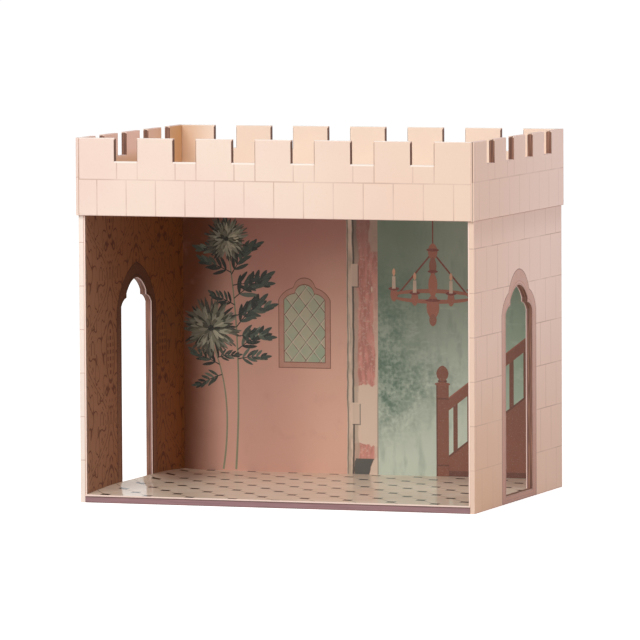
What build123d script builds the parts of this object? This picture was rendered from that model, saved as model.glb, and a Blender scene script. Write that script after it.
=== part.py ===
from build123d import *
import os

# Open-fronted card castle room: a floor, two side walls and a back wall, each a wrapped board with a
# thinner lining card on its inner face, an arched doorway through each side wall, and a roof tray
# ringed by battlements.
# Millimetres. X runs left to right, the open front faces -Y, and Z rises from the ground.

# Overall size, over the battlements
width = 360.0
depth = 253.0
height = 315.0

# Boards and cards
wall_board = 4.5
floor_thickness = 5.6
roof_thickness = 4.5
lining_card = 1.2
wrap_round = 0.6  # rounding where the paper turns over a wall or floor board
lining_setback = 0.8  # side linings stop this far behind the front edges of the walls

# Battlements
parapet_height = 67.0
parapet_board = 5.0
parapet_round = 0.7  # rounding where the paper turns over a parapet board
side_overhang = 1.1  # how far the side parapets stand out past the walls
end_overhang = 3.1  # how far the front and back parapets stand out past the walls
corner_ply = 2.5  # outer ply of a side parapet that laps the end of its neighbour
merlon_width = 33.0
crenel_width = 20.6
crenel_depth = 20.0

# Doorways
door_width = 74.0
wall_over_door = 61.4  # wall left between the crown of the arch and the parapet
arch_rise = 12.6
arch_bow = 2.95  # how far each half of the arch stands off its chord
arch_step = 4.0  # upright step between shoulder and arch
shoulder_run = 13.0
shoulder_rise = 7.0
shoulder_bow = 1.7  # how far a shoulder stands off its chord

# Positions that follow from the sizes above
half_width = width / 2
half_depth = depth / 2
wall_top = height - parapet_height
wall_outer_x = half_width - side_overhang
wall_outer_y = half_depth - end_overhang
wall_inner_x = wall_outer_x - wall_board
wall_inner_y = wall_outer_y - wall_board
floor_top = floor_thickness + lining_card
lining_inner_x = wall_inner_x - lining_card
lining_inner_y = wall_inner_y - lining_card
parapet_inner_x = half_width - parapet_board
parapet_inner_y = half_depth - parapet_board


def board(x_range, y_range, z_range):
    """A plain rectangular board that fills the three ranges."""
    sizes = [high - low for low, high in (x_range, y_range, z_range)]
    corner = (x_range[0], y_range[0], z_range[0])
    return Location(corner) * Box(*sizes, align=Align.MIN)


def bowed_arc(start, end, bow):
    """An arc from start to end that stands off the straight line between them by bow, on its right."""
    chord = Vector(end) - Vector(start)
    off_chord = chord.normalized().rotate(Axis.Z, -90) * bow
    return ThreePointArc(start, (Vector(start) + Vector(end)) / 2 + off_chord, end)


def doorway_face():
    """Outline of a doorway in the plane of a side wall: straight jambs, bowed shoulders, a low arch."""
    crown = wall_top - wall_over_door
    springing = crown - arch_rise
    shoulder_top = springing - arch_step
    jamb_top = shoulder_top - shoulder_rise
    jamb_y = door_width / 2
    arch_y = jamb_y - shoulder_run
    sill = Line((0, floor_top), (jamb_y, floor_top))
    jamb = Line(sill @ 1, (jamb_y, jamb_top))
    shoulder = bowed_arc(jamb @ 1, (arch_y, shoulder_top), shoulder_bow)
    step = Line(shoulder @ 1, (arch_y, springing))
    arch = bowed_arc(step @ 1, (0, crown), arch_bow)
    half_outline = Curve() + [sill, jamb, shoulder, step, arch]
    outline = half_outline + mirror(half_outline, about=Plane.YZ)
    return Plane.YZ * make_face(outline)


def doorway(x_low, x_high):
    """The doorway as a solid that crosses a wall from x_low to x_high."""
    return Pos(x_low, 0, 0) * extrude(doorway_face(), amount=x_high - x_low)


def battlement_face(span, length):
    """Upright outline of a parapet board: square crenels cut from the top of a band.

    The crenels are set out over the whole span of that side, and the board itself has the length.
    """
    pitch = merlon_width + crenel_width
    count = int((span - merlon_width) // pitch)
    crenel = Rectangle(crenel_width, crenel_depth, align=(Align.CENTER, Align.MAX))
    band = Rectangle(length, parapet_height, align=(Align.CENTER, Align.MAX))
    return band - [place * crenel for place in GridLocations(pitch, 0, count, 1)]


def wrapped(solid, axis, radius):
    """Round the outlines of the two broad faces that look along the axis, as paper turns over a board."""
    faces = solid.faces().sort_by(axis)
    edges = faces[0].outer_wire().edges() + faces[-1].outer_wire().edges()
    return fillet(edges, radius)


def front_parapet():
    """The battlements over the open front, their ends housed in the side parapets."""
    outline = Plane.XZ * battlement_face(width, width - 2 * corner_ply)
    panel = Pos(0, -parapet_inner_y, height) * extrude(outline, amount=parapet_board)
    return wrapped(panel, Axis.Y, parapet_round)


def right_parapet():
    """The battlements along the right side, the outer ply running on past the ends of the neighbours."""
    outline = Plane.YZ * battlement_face(depth, depth)
    panel = Pos(parapet_inner_x, 0, height) * extrude(outline, amount=parapet_board)
    rebate_x = (parapet_inner_x, half_width - corner_ply)
    panel -= board(rebate_x, (-half_depth, -parapet_inner_y), (wall_top, height))
    panel -= board(rebate_x, (parapet_inner_y, half_depth), (wall_top, height))
    return wrapped(panel, Axis.X, parapet_round)


def right_wall():
    """The right wall board, from the ground to the parapet, with its doorway."""
    panel = board((wall_inner_x, wall_outer_x), (-wall_outer_y, wall_outer_y), (0, wall_top))
    panel -= doorway(wall_inner_x, wall_outer_x)
    return wrapped(panel, Axis.X, wrap_round)


def right_lining():
    """The lining card of the right wall, standing on the floor lining."""
    front = lining_setback - wall_outer_y
    card = board((lining_inner_x, wall_inner_x), (front, lining_inner_y), (floor_top, wall_top))
    return card - doorway(lining_inner_x, wall_inner_x)


def back_wall():
    """The back wall board, held between the side walls."""
    return board((-wall_inner_x, wall_inner_x), (wall_inner_y, wall_outer_y), (0, wall_top))


def back_lining():
    """The lining card of the back wall, standing on the floor lining."""
    return board((-wall_inner_x, wall_inner_x), (lining_inner_y, wall_inner_y), (floor_top, wall_top))


def floor_board():
    """The floor board, held between the walls and rounded along its open front edge."""
    panel = board((-wall_inner_x, wall_inner_x), (-wall_outer_y, wall_inner_y), (0, floor_thickness))
    front = panel.faces().sort_by(Axis.Y)[0]
    return fillet(front.edges().filter_by(Axis.X), wrap_round)


def floor_lining():
    """The patterned card laid on the floor board."""
    ranges = ((-wall_inner_x, wall_inner_x), (-wall_outer_y, wall_inner_y), (floor_thickness, floor_top))
    return board(*ranges)


def roof_board():
    """The deck of the roof tray, resting on the walls inside the ring of battlements."""
    deck_x = (-parapet_inner_x, parapet_inner_x)
    deck_y = (-parapet_inner_y, parapet_inner_y)
    return board(deck_x, deck_y, (wall_top, wall_top + roof_thickness))


def left_for_right(solid):
    """The same board on the opposite side of the room."""
    return mirror(solid, about=Plane.YZ)


def back_for_front(solid):
    """The same board on the opposite end of the room."""
    return mirror(solid, about=Plane.XZ)


nodes = {
    "floor_board": floor_board(),
    "floor_lining": floor_lining(),
    "left_wall": left_for_right(right_wall()),
    "right_wall": right_wall(),
    "back_wall": back_wall(),
    "left_lining": left_for_right(right_lining()),
    "right_lining": right_lining(),
    "back_lining": back_lining(),
    "roof_board": roof_board(),
    "parapet_front": front_parapet(),
    "parapet_back": back_for_front(front_parapet()),
    "parapet_left": left_for_right(right_parapet()),
    "parapet_right": right_parapet(),
}

os.makedirs("parts", exist_ok=True)
for name, shape in nodes.items():
    export_step(shape, f"parts/{name}.step")
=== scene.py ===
"""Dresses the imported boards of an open-fronted card castle in printed paper, and sets up the studio."""
import logging
import math
import random
from collections.abc import Callable, Iterable, Sequence
from dataclasses import dataclass, field
from enum import Enum

import bmesh
import bpy
from mathutils import Matrix, Vector


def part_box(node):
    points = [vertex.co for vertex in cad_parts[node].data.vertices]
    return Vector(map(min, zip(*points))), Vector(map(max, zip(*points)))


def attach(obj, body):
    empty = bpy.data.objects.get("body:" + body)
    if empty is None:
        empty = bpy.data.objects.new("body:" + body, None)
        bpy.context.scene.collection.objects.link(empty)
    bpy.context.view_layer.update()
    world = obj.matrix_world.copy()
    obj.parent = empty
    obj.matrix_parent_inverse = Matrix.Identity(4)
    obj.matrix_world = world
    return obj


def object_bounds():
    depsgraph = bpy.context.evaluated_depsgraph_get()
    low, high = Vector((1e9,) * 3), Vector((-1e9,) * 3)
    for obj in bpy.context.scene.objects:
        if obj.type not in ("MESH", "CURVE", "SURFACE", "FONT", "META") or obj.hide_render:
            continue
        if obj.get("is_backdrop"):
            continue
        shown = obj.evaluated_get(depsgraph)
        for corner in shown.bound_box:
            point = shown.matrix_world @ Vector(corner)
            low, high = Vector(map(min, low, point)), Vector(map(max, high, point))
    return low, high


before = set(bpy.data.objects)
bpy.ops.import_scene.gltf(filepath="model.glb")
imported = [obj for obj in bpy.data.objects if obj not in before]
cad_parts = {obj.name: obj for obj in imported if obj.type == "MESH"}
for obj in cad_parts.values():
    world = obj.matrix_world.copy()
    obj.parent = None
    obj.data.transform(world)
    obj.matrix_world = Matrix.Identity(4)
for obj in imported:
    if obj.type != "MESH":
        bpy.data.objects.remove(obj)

LOG = logging.getLogger("castle")
MM = 0.001
BODY = "root"

Point = tuple[float, float]
Socket = bpy.types.NodeSocket


@dataclass(frozen=True)
class Tone:
    """A printed colour as it looks under plain light, in sRGB steps of 0 to 255."""

    red: float
    green: float
    blue: float

    def linear(self) -> tuple[float, float, float, float]:
        """Returns the colour as linear light with full cover."""
        steps = (self.red / 255, self.green / 255, self.blue / 255)
        light = [v / 12.92 if v <= 0.04045 else ((v + 0.055) / 1.055) ** 2.4 for v in steps]
        return (light[0], light[1], light[2], 1.0)

    def shade(self, share: float) -> "Tone":
        """Returns the same colour, lighter or darker by a share."""
        return Tone(*(min(255.0, v * share) for v in (self.red, self.green, self.blue)))


class Ink(Enum):
    """The colours of papers, cut edges and prints."""

    STONE = Tone(240, 218, 202)
    STONE_PINK = Tone(238, 212, 199)
    STONE_TAN = Tone(226, 188, 158)
    # painted shade: paper of faces turned sideways, pinker than the front
    STONE_SIDE_SHADE = Tone(243, 212, 201)
    # rosier foot of the side faces, and painted shade towards their front
    STONE_ROSE_AND_SHADE = Tone(214, 172, 143)
    STONE_JOINT = Tone(190, 150, 132)
    STONE_SHADE = Tone(186, 146, 134)
    # painted highlight: near-white paper for upward faces, the crenel feet and the left wall's front
    # edges
    STONE_HIGHLIGHT = Tone(252, 240, 230)
    TRAY = Tone(249, 228, 210)
    TRAY_SIDE = Tone(246, 206, 192)
    # painted shade: orange shade in the tray's inner corners
    TRAY_CORNER_SHADE = Tone(211, 162, 114)
    CUT = Tone(152, 107, 87)
    CUT_DARK = Tone(100, 64, 50)
    CORE = Tone(122, 80, 62)
    CORE_DARK = Tone(86, 54, 42)
    CARD_EDGE = Tone(248, 222, 208)
    MAUVE = Tone(157, 118, 121)
    MAUVE_LINE = Tone(122, 86, 80)
    # painted shadow in the gap under the floor card
    CREVICE_SHADOW = Tone(104, 70, 64)
    TILE = Tone(252, 235, 215)
    TILE_WARM = Tone(246, 225, 201)
    # painted shadow on the floor behind the left doorway
    TILE_SHADOW = Tone(134, 84, 60)
    TILE_JOINT = Tone(132, 100, 80)
    TILE_DOT = Tone(24, 14, 9)
    DAMASK = Tone(160, 112, 84)
    DAMASK_DEEP = Tone(145, 88, 41)
    DAMASK_WORN = Tone(186, 160, 142)
    DAMASK_FIGURE = Tone(84, 32, 8)
    INNER_FRAME = Tone(100, 58, 34)
    INNER_FRAME_FOOT = Tone(140, 92, 66)
    INNER_FRAME_LINE = Tone(70, 38, 24)
    OUTER_FRAME = Tone(197, 152, 137)
    OUTER_FRAME_FOOT = Tone(174, 118, 97)
    OUTER_FRAME_LINE = Tone(148, 102, 92)
    PINK = Tone(238, 190, 168)
    # darker pink of the plaster's spots, and painted shade towards its top and left
    PINK_SHADE_AND_SPOTS = Tone(210, 150, 137)
    # painted shadow in the top and left corner of the pink plaster
    PINK_CORNER_SHADOW = Tone(110, 54, 8)
    GREEN = Tone(214, 227, 210)
    # painted shade of the green plaster towards its top
    GREEN_SHADE = Tone(130, 148, 126)
    GREEN_COLD = Tone(162, 192, 166)
    GREEN_STAIN = Tone(102, 130, 112)
    POST_RED = Tone(226, 158, 144)
    POST_DARK = Tone(198, 132, 120)
    POST_CREAM = Tone(238, 214, 193)
    POST_GREY = Tone(196, 178, 158)
    POST_FOOT = Tone(96, 96, 90)
    GAP = Tone(70, 60, 52)
    WINDOW_FRAME = Tone(206, 158, 140)
    WINDOW_LINE = Tone(150, 98, 84)
    GLASS = Tone(204, 196, 168)
    GLASS_GREEN = Tone(164, 184, 156)
    LEAD = Tone(116, 88, 70)
    STAIR = Tone(144, 94, 76)
    STAIR_DARK = Tone(116, 74, 62)
    LAMP = Tone(184, 122, 102)
    LAMP_DARK = Tone(144, 84, 74)
    CANDLE = Tone(236, 218, 196)
    FLAME = Tone(246, 196, 160)
    LEAF = Tone(70, 84, 74)
    LEAF_DARK = Tone(46, 52, 46)
    LEAF_PALE = Tone(112, 126, 112)
    STEM = Tone(150, 154, 126)
    PETAL = Tone(178, 180, 160)
    PETAL_MID = Tone(134, 138, 118)
    PETAL_DARK = Tone(74, 80, 66)

    def linear(self) -> tuple[float, float, float, float]:
        """Returns the colour as linear light."""
        return self.value.linear()

    def shade(self, share: float) -> Tone:
        """Returns the same colour, lighter or darker by a share."""
        return self.value.shade(share)


Value = Socket | float | Sequence[float] | Tone | Ink


class Graph:
    """Builds the node graph of one material."""

    def __init__(self, name: str) -> None:
        """Starts a material with one principled shader.

        Args:
            name: Name of the material.
        """
        self.material = bpy.data.materials.new(name)
        self.material.use_nodes = True
        self.tree = self.material.node_tree
        self.shader = self.tree.nodes["Principled BSDF"]
        place = self.tree.nodes.new("ShaderNodeTexCoord")
        self.place = place.outputs["Object"]
        self.x, self.y, self.z = self.split(self.place)
        self.facing = self.split(place.outputs["Normal"])

    def feed(self, socket: Socket, value: Value) -> None:
        """Links or sets one input.

        Args:
            socket: The input.
            value: A linked output, a colour or a constant.
        """
        if isinstance(value, Socket):
            self.tree.links.new(value, socket)
        elif isinstance(value, (Tone, Ink)):
            socket.default_value = value.linear()
        else:
            socket.default_value = value

    def split(self, vector: Socket) -> tuple[Socket, Socket, Socket]:
        """Returns the three parts of a vector."""
        node = self.tree.nodes.new("ShaderNodeSeparateXYZ")
        self.feed(node.inputs[0], vector)
        return (node.outputs[0], node.outputs[1], node.outputs[2])

    def math(self, operation: str, *values: Value) -> Socket:
        """Returns a sum of one, two or three values.

        Args:
            operation: Name of the sum, as the math node has it.
            values: Its inputs in order.
        """
        node = self.tree.nodes.new("ShaderNodeMath")
        node.operation = operation
        for socket, value in zip(node.inputs, values):
            self.feed(socket, value)
        return node.outputs[0]

    def ease(self, value: Value, low: float, high: float) -> Socket:
        """Returns a soft step from 0 at low to 1 at high.

        Args:
            value: The value that is looked at.
            low: Where the step gives 0. It may be larger than high.
            high: Where the step gives 1.
        """
        node = self.tree.nodes.new("ShaderNodeMapRange")
        node.interpolation_type = "SMOOTHSTEP"
        rising = low < high
        settings = (value, min(low, high), max(low, high), 1 - rising, rising)
        for socket, setting in zip(node.inputs, settings):
            self.feed(socket, setting if isinstance(setting, Socket) else float(setting))
        return node.outputs[0]

    def mix(self, share: Value, first: Value, second: Value, blend: str = "MIX") -> Socket:
        """Returns a blend of two colours.

        Args:
            share: How much of the second colour shows.
            first: Colour at 0.
            second: Colour at 1.
            blend: Name of the blend.
        """
        node = self.tree.nodes.new("ShaderNodeMix")
        node.data_type = "RGBA"
        node.blend_type = blend
        for index, value in ((0, share), (6, first), (7, second)):
            self.feed(node.inputs[index], value)
        return node.outputs[2]

    def point(self, *parts: Value) -> Socket:
        """Returns a vector of three values."""
        node = self.tree.nodes.new("ShaderNodeCombineXYZ")
        for socket, value in zip(node.inputs, parts):
            self.feed(socket, value)
        return node.outputs[0]

    def stretched(self, scale: tuple[float, float, float]) -> Socket:
        """Returns the object's coordinates, scaled along each axis."""
        node = self.tree.nodes.new("ShaderNodeMapping")
        self.feed(node.inputs["Vector"], self.place)
        node.inputs["Scale"].default_value = scale
        return node.outputs[0]

    def noise(self, scale: float, detail: float = 3.0, vector: Socket | None = None) -> Socket:
        """Returns cloudy noise about a half.

        Args:
            scale: Clouds to the metre.
            detail: How many finer layers it has.
            vector: Coordinates, if not the object's own.
        """
        node = self.tree.nodes.new("ShaderNodeTexNoise")
        self.feed(node.inputs["Vector"], vector or self.place)
        node.inputs["Scale"].default_value = scale
        node.inputs["Detail"].default_value = detail
        return node.outputs[0]

    def spacing(self, value: Value, start: Value, pitch: float) -> Socket:
        """Returns how far a value lies from the nearest of a row of evenly spaced lines."""
        return self.math("PINGPONG", self.math("SUBTRACT", value, start), pitch / 2)

    def line(self, distance: Socket, width: float) -> Socket:
        """Returns a mask of a drawn line, from the distance to its middle."""
        return self.ease(distance, width * 0.7, width * 0.25)

    def times(self, first: Value, *others: Value) -> Socket:
        """Returns the product of two or more values."""
        for other in others:
            first = self.math("MULTIPLY", first, other)
        return first

    def size_of(self, value: Socket) -> Socket:
        """Returns a value without its sign."""
        return self.math("ABSOLUTE", value)

    def apart(self, first: Value, second: Value) -> Socket:
        """Returns how far two values are from each other."""
        return self.size_of(self.math("SUBTRACT", first, second))

    def drift(self, scale: float, detail: float, reach: float) -> Socket:
        """Returns cloudy noise about zero.

        Args:
            scale: Clouds to the metre.
            detail: How many finer layers it has.
            reach: How far it would swing in all.
        """
        return self.times(self.math("SUBTRACT", self.noise(scale, detail), 0.5), reach)

    def paper(self, colour: Value, roughness: float, fibre: float = 0.12) -> bpy.types.Material:
        """Finishes the graph as printed paper.

        Args:
            colour: Colour of the print.
            roughness: How matt the paper is.
            fibre: How strongly its fibres show.

        Returns:
            The material.
        """
        self.feed(self.shader.inputs["Base Color"], colour)
        self.shader.inputs["Roughness"].default_value = roughness
        bump = self.tree.nodes.new("ShaderNodeBump")
        bump.inputs["Strength"].default_value = fibre
        bump.inputs["Distance"].default_value = 0.15 * MM
        self.feed(bump.inputs["Height"], self.noise(1400.0, 4.0))
        self.feed(self.shader.inputs["Normal"], bump.outputs[0])
        return self.material


class Run(Enum):
    """Which way a board runs, seen from outside."""

    ACROSS = 0
    DEEP = 1


@dataclass(frozen=True)
class BondLayout:
    """Where the printed courses and blocks of one wall fall."""

    course_start: float
    course: float
    block_start: float
    block: float
    cut_reach: float
    # heights of the painted shadow band under the parapet
    parapet_shadow: Point


@dataclass(frozen=True)
class CrenelLayout:
    """Where the crenels and the printed joints of one parapet fall, along the board."""

    half_length: float
    middle: float
    half_board: float
    top: float
    crenel_foot: float
    first: float
    pitch: float
    crenel: float
    leans: Point
    course_line: float
    block_start: float
    block: float
    # strength of the painted highlight at the crenel feet
    crenel_highlight: float
    seams: Point


@dataclass(frozen=True)
class StonePaper:
    """Pale masonry print on a board, with brown cut edges, painted highlights on its upward faces and
    painted shade on its undersides.
    """

    name: str
    run: Run
    outward: int
    inside: tuple[Ink, Ink] = (Ink.TRAY, Ink.TRAY)
    core: tuple[Ink, Ink] = (Ink.CUT, Ink.CUT_DARK)
    joint: float = 0.75 * MM
    strength: float = 0.62
    warmth: float = 0.5
    roughness: float = 0.62
    hem: Point = (0.4 * MM, 1.3 * MM)
    seam: float = 0.9 * MM
    seam_inset: float = 1.35 * MM
    cut_rounding: float = 1.1 * MM

    def wall(self, layout: BondLayout) -> bpy.types.Material:
        """The print of a wall board: courses in running bond.

        Args:
            layout: Where the printed courses and blocks fall.

        Returns:
            The material.
        """
        graph = Graph(self.name)
        along, broad = self._along(graph), self._broad(graph)
        height = graph.math("SUBTRACT", graph.z, layout.course_start)
        row = graph.math("FLOOR", graph.math("DIVIDE", height, layout.course))
        shift = graph.times(graph.math("FLOORED_MODULO", row, 2.0), layout.block / 2)
        start = graph.math("ADD", shift, layout.block_start)
        upright = graph.times(graph.line(graph.spacing(along, start, layout.block), self.joint), broad)
        level = graph.line(graph.spacing(graph.z, layout.course_start, layout.course), self.joint)
        stone = self._stone(graph, graph.math("MAXIMUM", upright, level))
        # painted highlight: the front edges of the left wall are lightened, except at the joints
        cover = graph.math("SUBTRACT", 0.55, graph.times(level, 0.55))
        left_front_highlight = graph.times(graph.ease(graph.facing[1], -0.5, -0.8), graph.ease(graph.x, 0.0, -0.1))
        stone = graph.mix(graph.times(left_front_highlight, cover), stone, Ink.STONE_HIGHLIGHT)
        # painted shadow: a band under the parapet; a darker line also runs along the foot
        parapet_shadow = graph.times(graph.ease(graph.z, *layout.parapet_shadow), broad, 0.3)
        hem = graph.times(graph.ease(graph.z, self.hem[1], self.hem[0]), broad, 0.7)
        stone = graph.mix(graph.math("MAXIMUM", parapet_shadow, hem), stone, Ink.STONE_SHADE)
        near_door = graph.ease(graph.size_of(along), layout.cut_reach + 1 * MM, layout.cut_reach)
        cut = graph.times(near_door, graph.ease(broad, 0.4, 0.2))
        return graph.paper(graph.mix(cut, stone, self._cut(graph)), self.roughness)

    def parapet(self, layout: CrenelLayout) -> bpy.types.Material:
        """The print of a parapet board: one course of blocks under a course that follows the crenels.

        Args:
            layout: Where the crenels and printed joints fall.

        Returns:
            The material.
        """
        graph = Graph(self.name)
        along = self._along(graph)
        half = layout.crenel / 2
        edges = [layout.first + side * half + lean for side, lean in zip((-1, 1), layout.leans)]
        nearest = [graph.spacing(along, edge, layout.pitch) for edge in edges]
        high = graph.line(graph.math("MINIMUM", *nearest), self.joint)
        low = graph.line(graph.spacing(along, layout.block_start, layout.block), self.joint)
        upper = graph.ease(graph.z, layout.course_line - 0.1 * MM, layout.course_line + 0.1 * MM)
        low = graph.times(low, graph.math("SUBTRACT", 1.0, upper))
        upright = graph.times(graph.math("ADD", graph.times(high, upper), low), self._broad(graph))
        level = graph.line(graph.apart(graph.z, layout.course_line), self.joint)
        stone = self._stone(graph, graph.math("MAXIMUM", upright, level))
        stone = self._seamed(graph, layout, stone, upper)
        outward = graph.times(graph.facing[self.run.value ^ 1], float(self.outward))
        face = graph.mix(graph.ease(outward, -0.3, -0.6), stone, self._plain(graph))
        # painted highlight: upward faces of the front and back boards turn near white; the side boards
        # keep their side paper there
        turn = Ink.STONE_HIGHLIGHT if self.run is Run.ACROSS else Ink.STONE_SIDE_SHADE
        face = graph.mix(graph.ease(graph.facing[2], 0.25, 0.6), face, turn)
        # painted shade on the downward faces
        underside_shade = graph.times(graph.ease(graph.facing[2], -0.2, -0.6), 0.8)
        face = graph.mix(underside_shade, face, Ink.STONE_SHADE)
        face = graph.mix(self._cut_mask(graph, layout), face, self._cut(graph))
        return graph.paper(face, self.roughness)

    def _seamed(self, graph: Graph, layout: CrenelLayout, stone: Socket, upper: Socket) -> Socket:
        """Returns the stone print with a painted highlight just under the foot of each crenel and a dark
        seam at each end.

        Args:
            graph: The graph to build in.
            layout: Where the crenels fall.
            stone: The print so far.
            upper: Mask of the upper course.
        """
        along = self._along(graph)
        half, foot, end = layout.crenel / 2, layout.crenel_foot, layout.half_length
        beside = graph.spacing(along, layout.first, layout.pitch)
        within = graph.ease(beside, half + 0.4 * MM, half - 0.2 * MM)
        # painted highlight just under the foot of each crenel
        crenel_highlight = graph.ease(graph.z, foot - 1.7 * MM, foot - 0.9 * MM)
        below = graph.ease(graph.z, foot + 0.4 * MM, foot + 0.1 * MM)
        stone = graph.mix(graph.times(within, crenel_highlight, below, layout.crenel_highlight), stone, Ink.STONE_HIGHLIGHT)
        if self.run is Run.ACROSS:
            seam = graph.ease(graph.size_of(along), end - 1.4 * MM, end - 0.5 * MM)
        else:
            place = abs(layout.middle) + layout.half_board - self.seam_inset
            seam = graph.line(graph.apart(graph.size_of(graph.x), place), self.seam)
            seam = graph.times(seam, graph.ease(graph.size_of(graph.facing[1]), 0.5, 0.8))
        low, high = layout.seams
        strength = graph.math("ADD", low, graph.times(graph.ease(along, -1 * MM, 1 * MM), high - low))
        strength = graph.times(strength, graph.math("ADD", 0.6, graph.times(upper, 0.4)))
        return graph.mix(graph.times(seam, strength), stone, Ink.CUT_DARK)

    def _cut_mask(self, graph: Graph, layout: CrenelLayout) -> Socket:
        """Returns where the brown core shows: the sides of the crenels, rounded off below the tops.

        Args:
            graph: The graph to build in.
            layout: Where the crenels fall.
        """
        along = self._along(graph)
        across = graph.y if self.run is Run.ACROSS else graph.x
        off = graph.math("DIVIDE", graph.math("SUBTRACT", across, layout.middle), layout.half_board)
        height = graph.math("ADD", graph.z, graph.times(off, off, self.cut_rounding))
        under = graph.ease(height, layout.top - 0.5 * MM, layout.top - 0.9 * MM)
        sideways = graph.ease(graph.size_of(graph.facing[self.run.value]), 0.25, 0.42)
        end = layout.half_length
        inner = graph.ease(graph.size_of(along), end - 0.9 * MM, end - 1.1 * MM)
        return graph.times(sideways, under, inner)

    def _along(self, graph: Graph) -> Socket:
        """Returns the coordinate that runs along the board."""
        return graph.x if self.run is Run.ACROSS else graph.y

    def _broad(self, graph: Graph) -> Socket:
        """Returns how squarely a face looks out of, or into, the board's broad side."""
        return graph.size_of(graph.facing[self.run.value ^ 1])

    def _stone(self, graph: Graph, joints: Socket) -> Socket:
        """Returns the stone print: mottled paper and faint, uneven joints.

        Args:
            graph: The graph to build in.
            joints: Mask of the joint lines.
        """
        front = graph.mix(graph.ease(graph.noise(9.0, 2.0), 0.35, 0.65), Ink.STONE, Ink.STONE_PINK)
        warm = graph.times(graph.ease(graph.x, -0.08, 0.18), self.warmth)
        front = graph.mix(warm, front, Ink.STONE_TAN)
        foot = graph.ease(graph.math("ADD", graph.z, graph.times(graph.noise(14.0), 0.05)), 0.26, 0.02)
        # painted shade: side faces turn rosier and darker towards the front, where the rosier foot is
        # also stronger
        near = graph.ease(graph.y, 0.12, -0.12)
        low = graph.times(foot, graph.math("ADD", 0.6, graph.times(near, 0.42)))
        rose = graph.math("MAXIMUM", low, graph.times(near, 0.4))
        side = graph.mix(rose, Ink.STONE_SIDE_SHADE, Ink.STONE_ROSE_AND_SHADE)
        # painted shade: faces turned sideways take the pinker side paper
        paper = graph.mix(graph.size_of(graph.facing[0]), front, side)
        speck = graph.times(graph.ease(graph.noise(420.0, 2.0), 0.58, 0.72), 0.12)
        paper = graph.mix(speck, paper, Ink.STONE_TAN)
        uneven = graph.math("ADD", 0.5, graph.ease(graph.noise(30.0, 2.0), 0.3, 0.7))
        return graph.mix(graph.times(joints, uneven, self.strength), paper, Ink.STONE_JOINT)

    def _plain(self, graph: Graph) -> Socket:
        """Returns the plain, lightly clouded paper of the side that looks into the tray, with painted
        shade: towards the back and the deck where the board has a shade colour, and at the left end of
        the front and back boards.

        Args:
            graph: The graph to build in.
        """
        # painted shade towards the deck and the back
        low = graph.times(graph.ease(graph.z, 0.301, 0.289), 0.75)
        deep = graph.math("MAXIMUM", graph.ease(graph.y, 0.0, 0.118), low)
        ground = graph.mix(deep, *self.inside)
        cloud = graph.times(graph.ease(graph.noise(16.0, 3.0), 0.3, 0.7), 0.25)
        ground = graph.mix(cloud, ground, self.inside[0].shade(0.93))
        # painted shade in the left corner of the front and back boards
        corner = graph.times(graph.ease(graph.x, -0.142, -0.176), 0.6 if self.run is Run.ACROSS else 0.0)
        return graph.mix(corner, ground, Ink.TRAY_CORNER_SHADE)

    def _cut(self, graph: Graph) -> Socket:
        """Returns the brown core of a cut edge, streaked along its plies.

        Args:
            graph: The graph to build in.
        """
        plies = (900.0, 30.0, 30.0) if self.run is Run.DEEP else (30.0, 900.0, 30.0)
        streak = graph.ease(graph.noise(1.0, 2.0, graph.stretched(plies)), 0.35, 0.65)
        return graph.mix(streak, *self.core)


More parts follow.
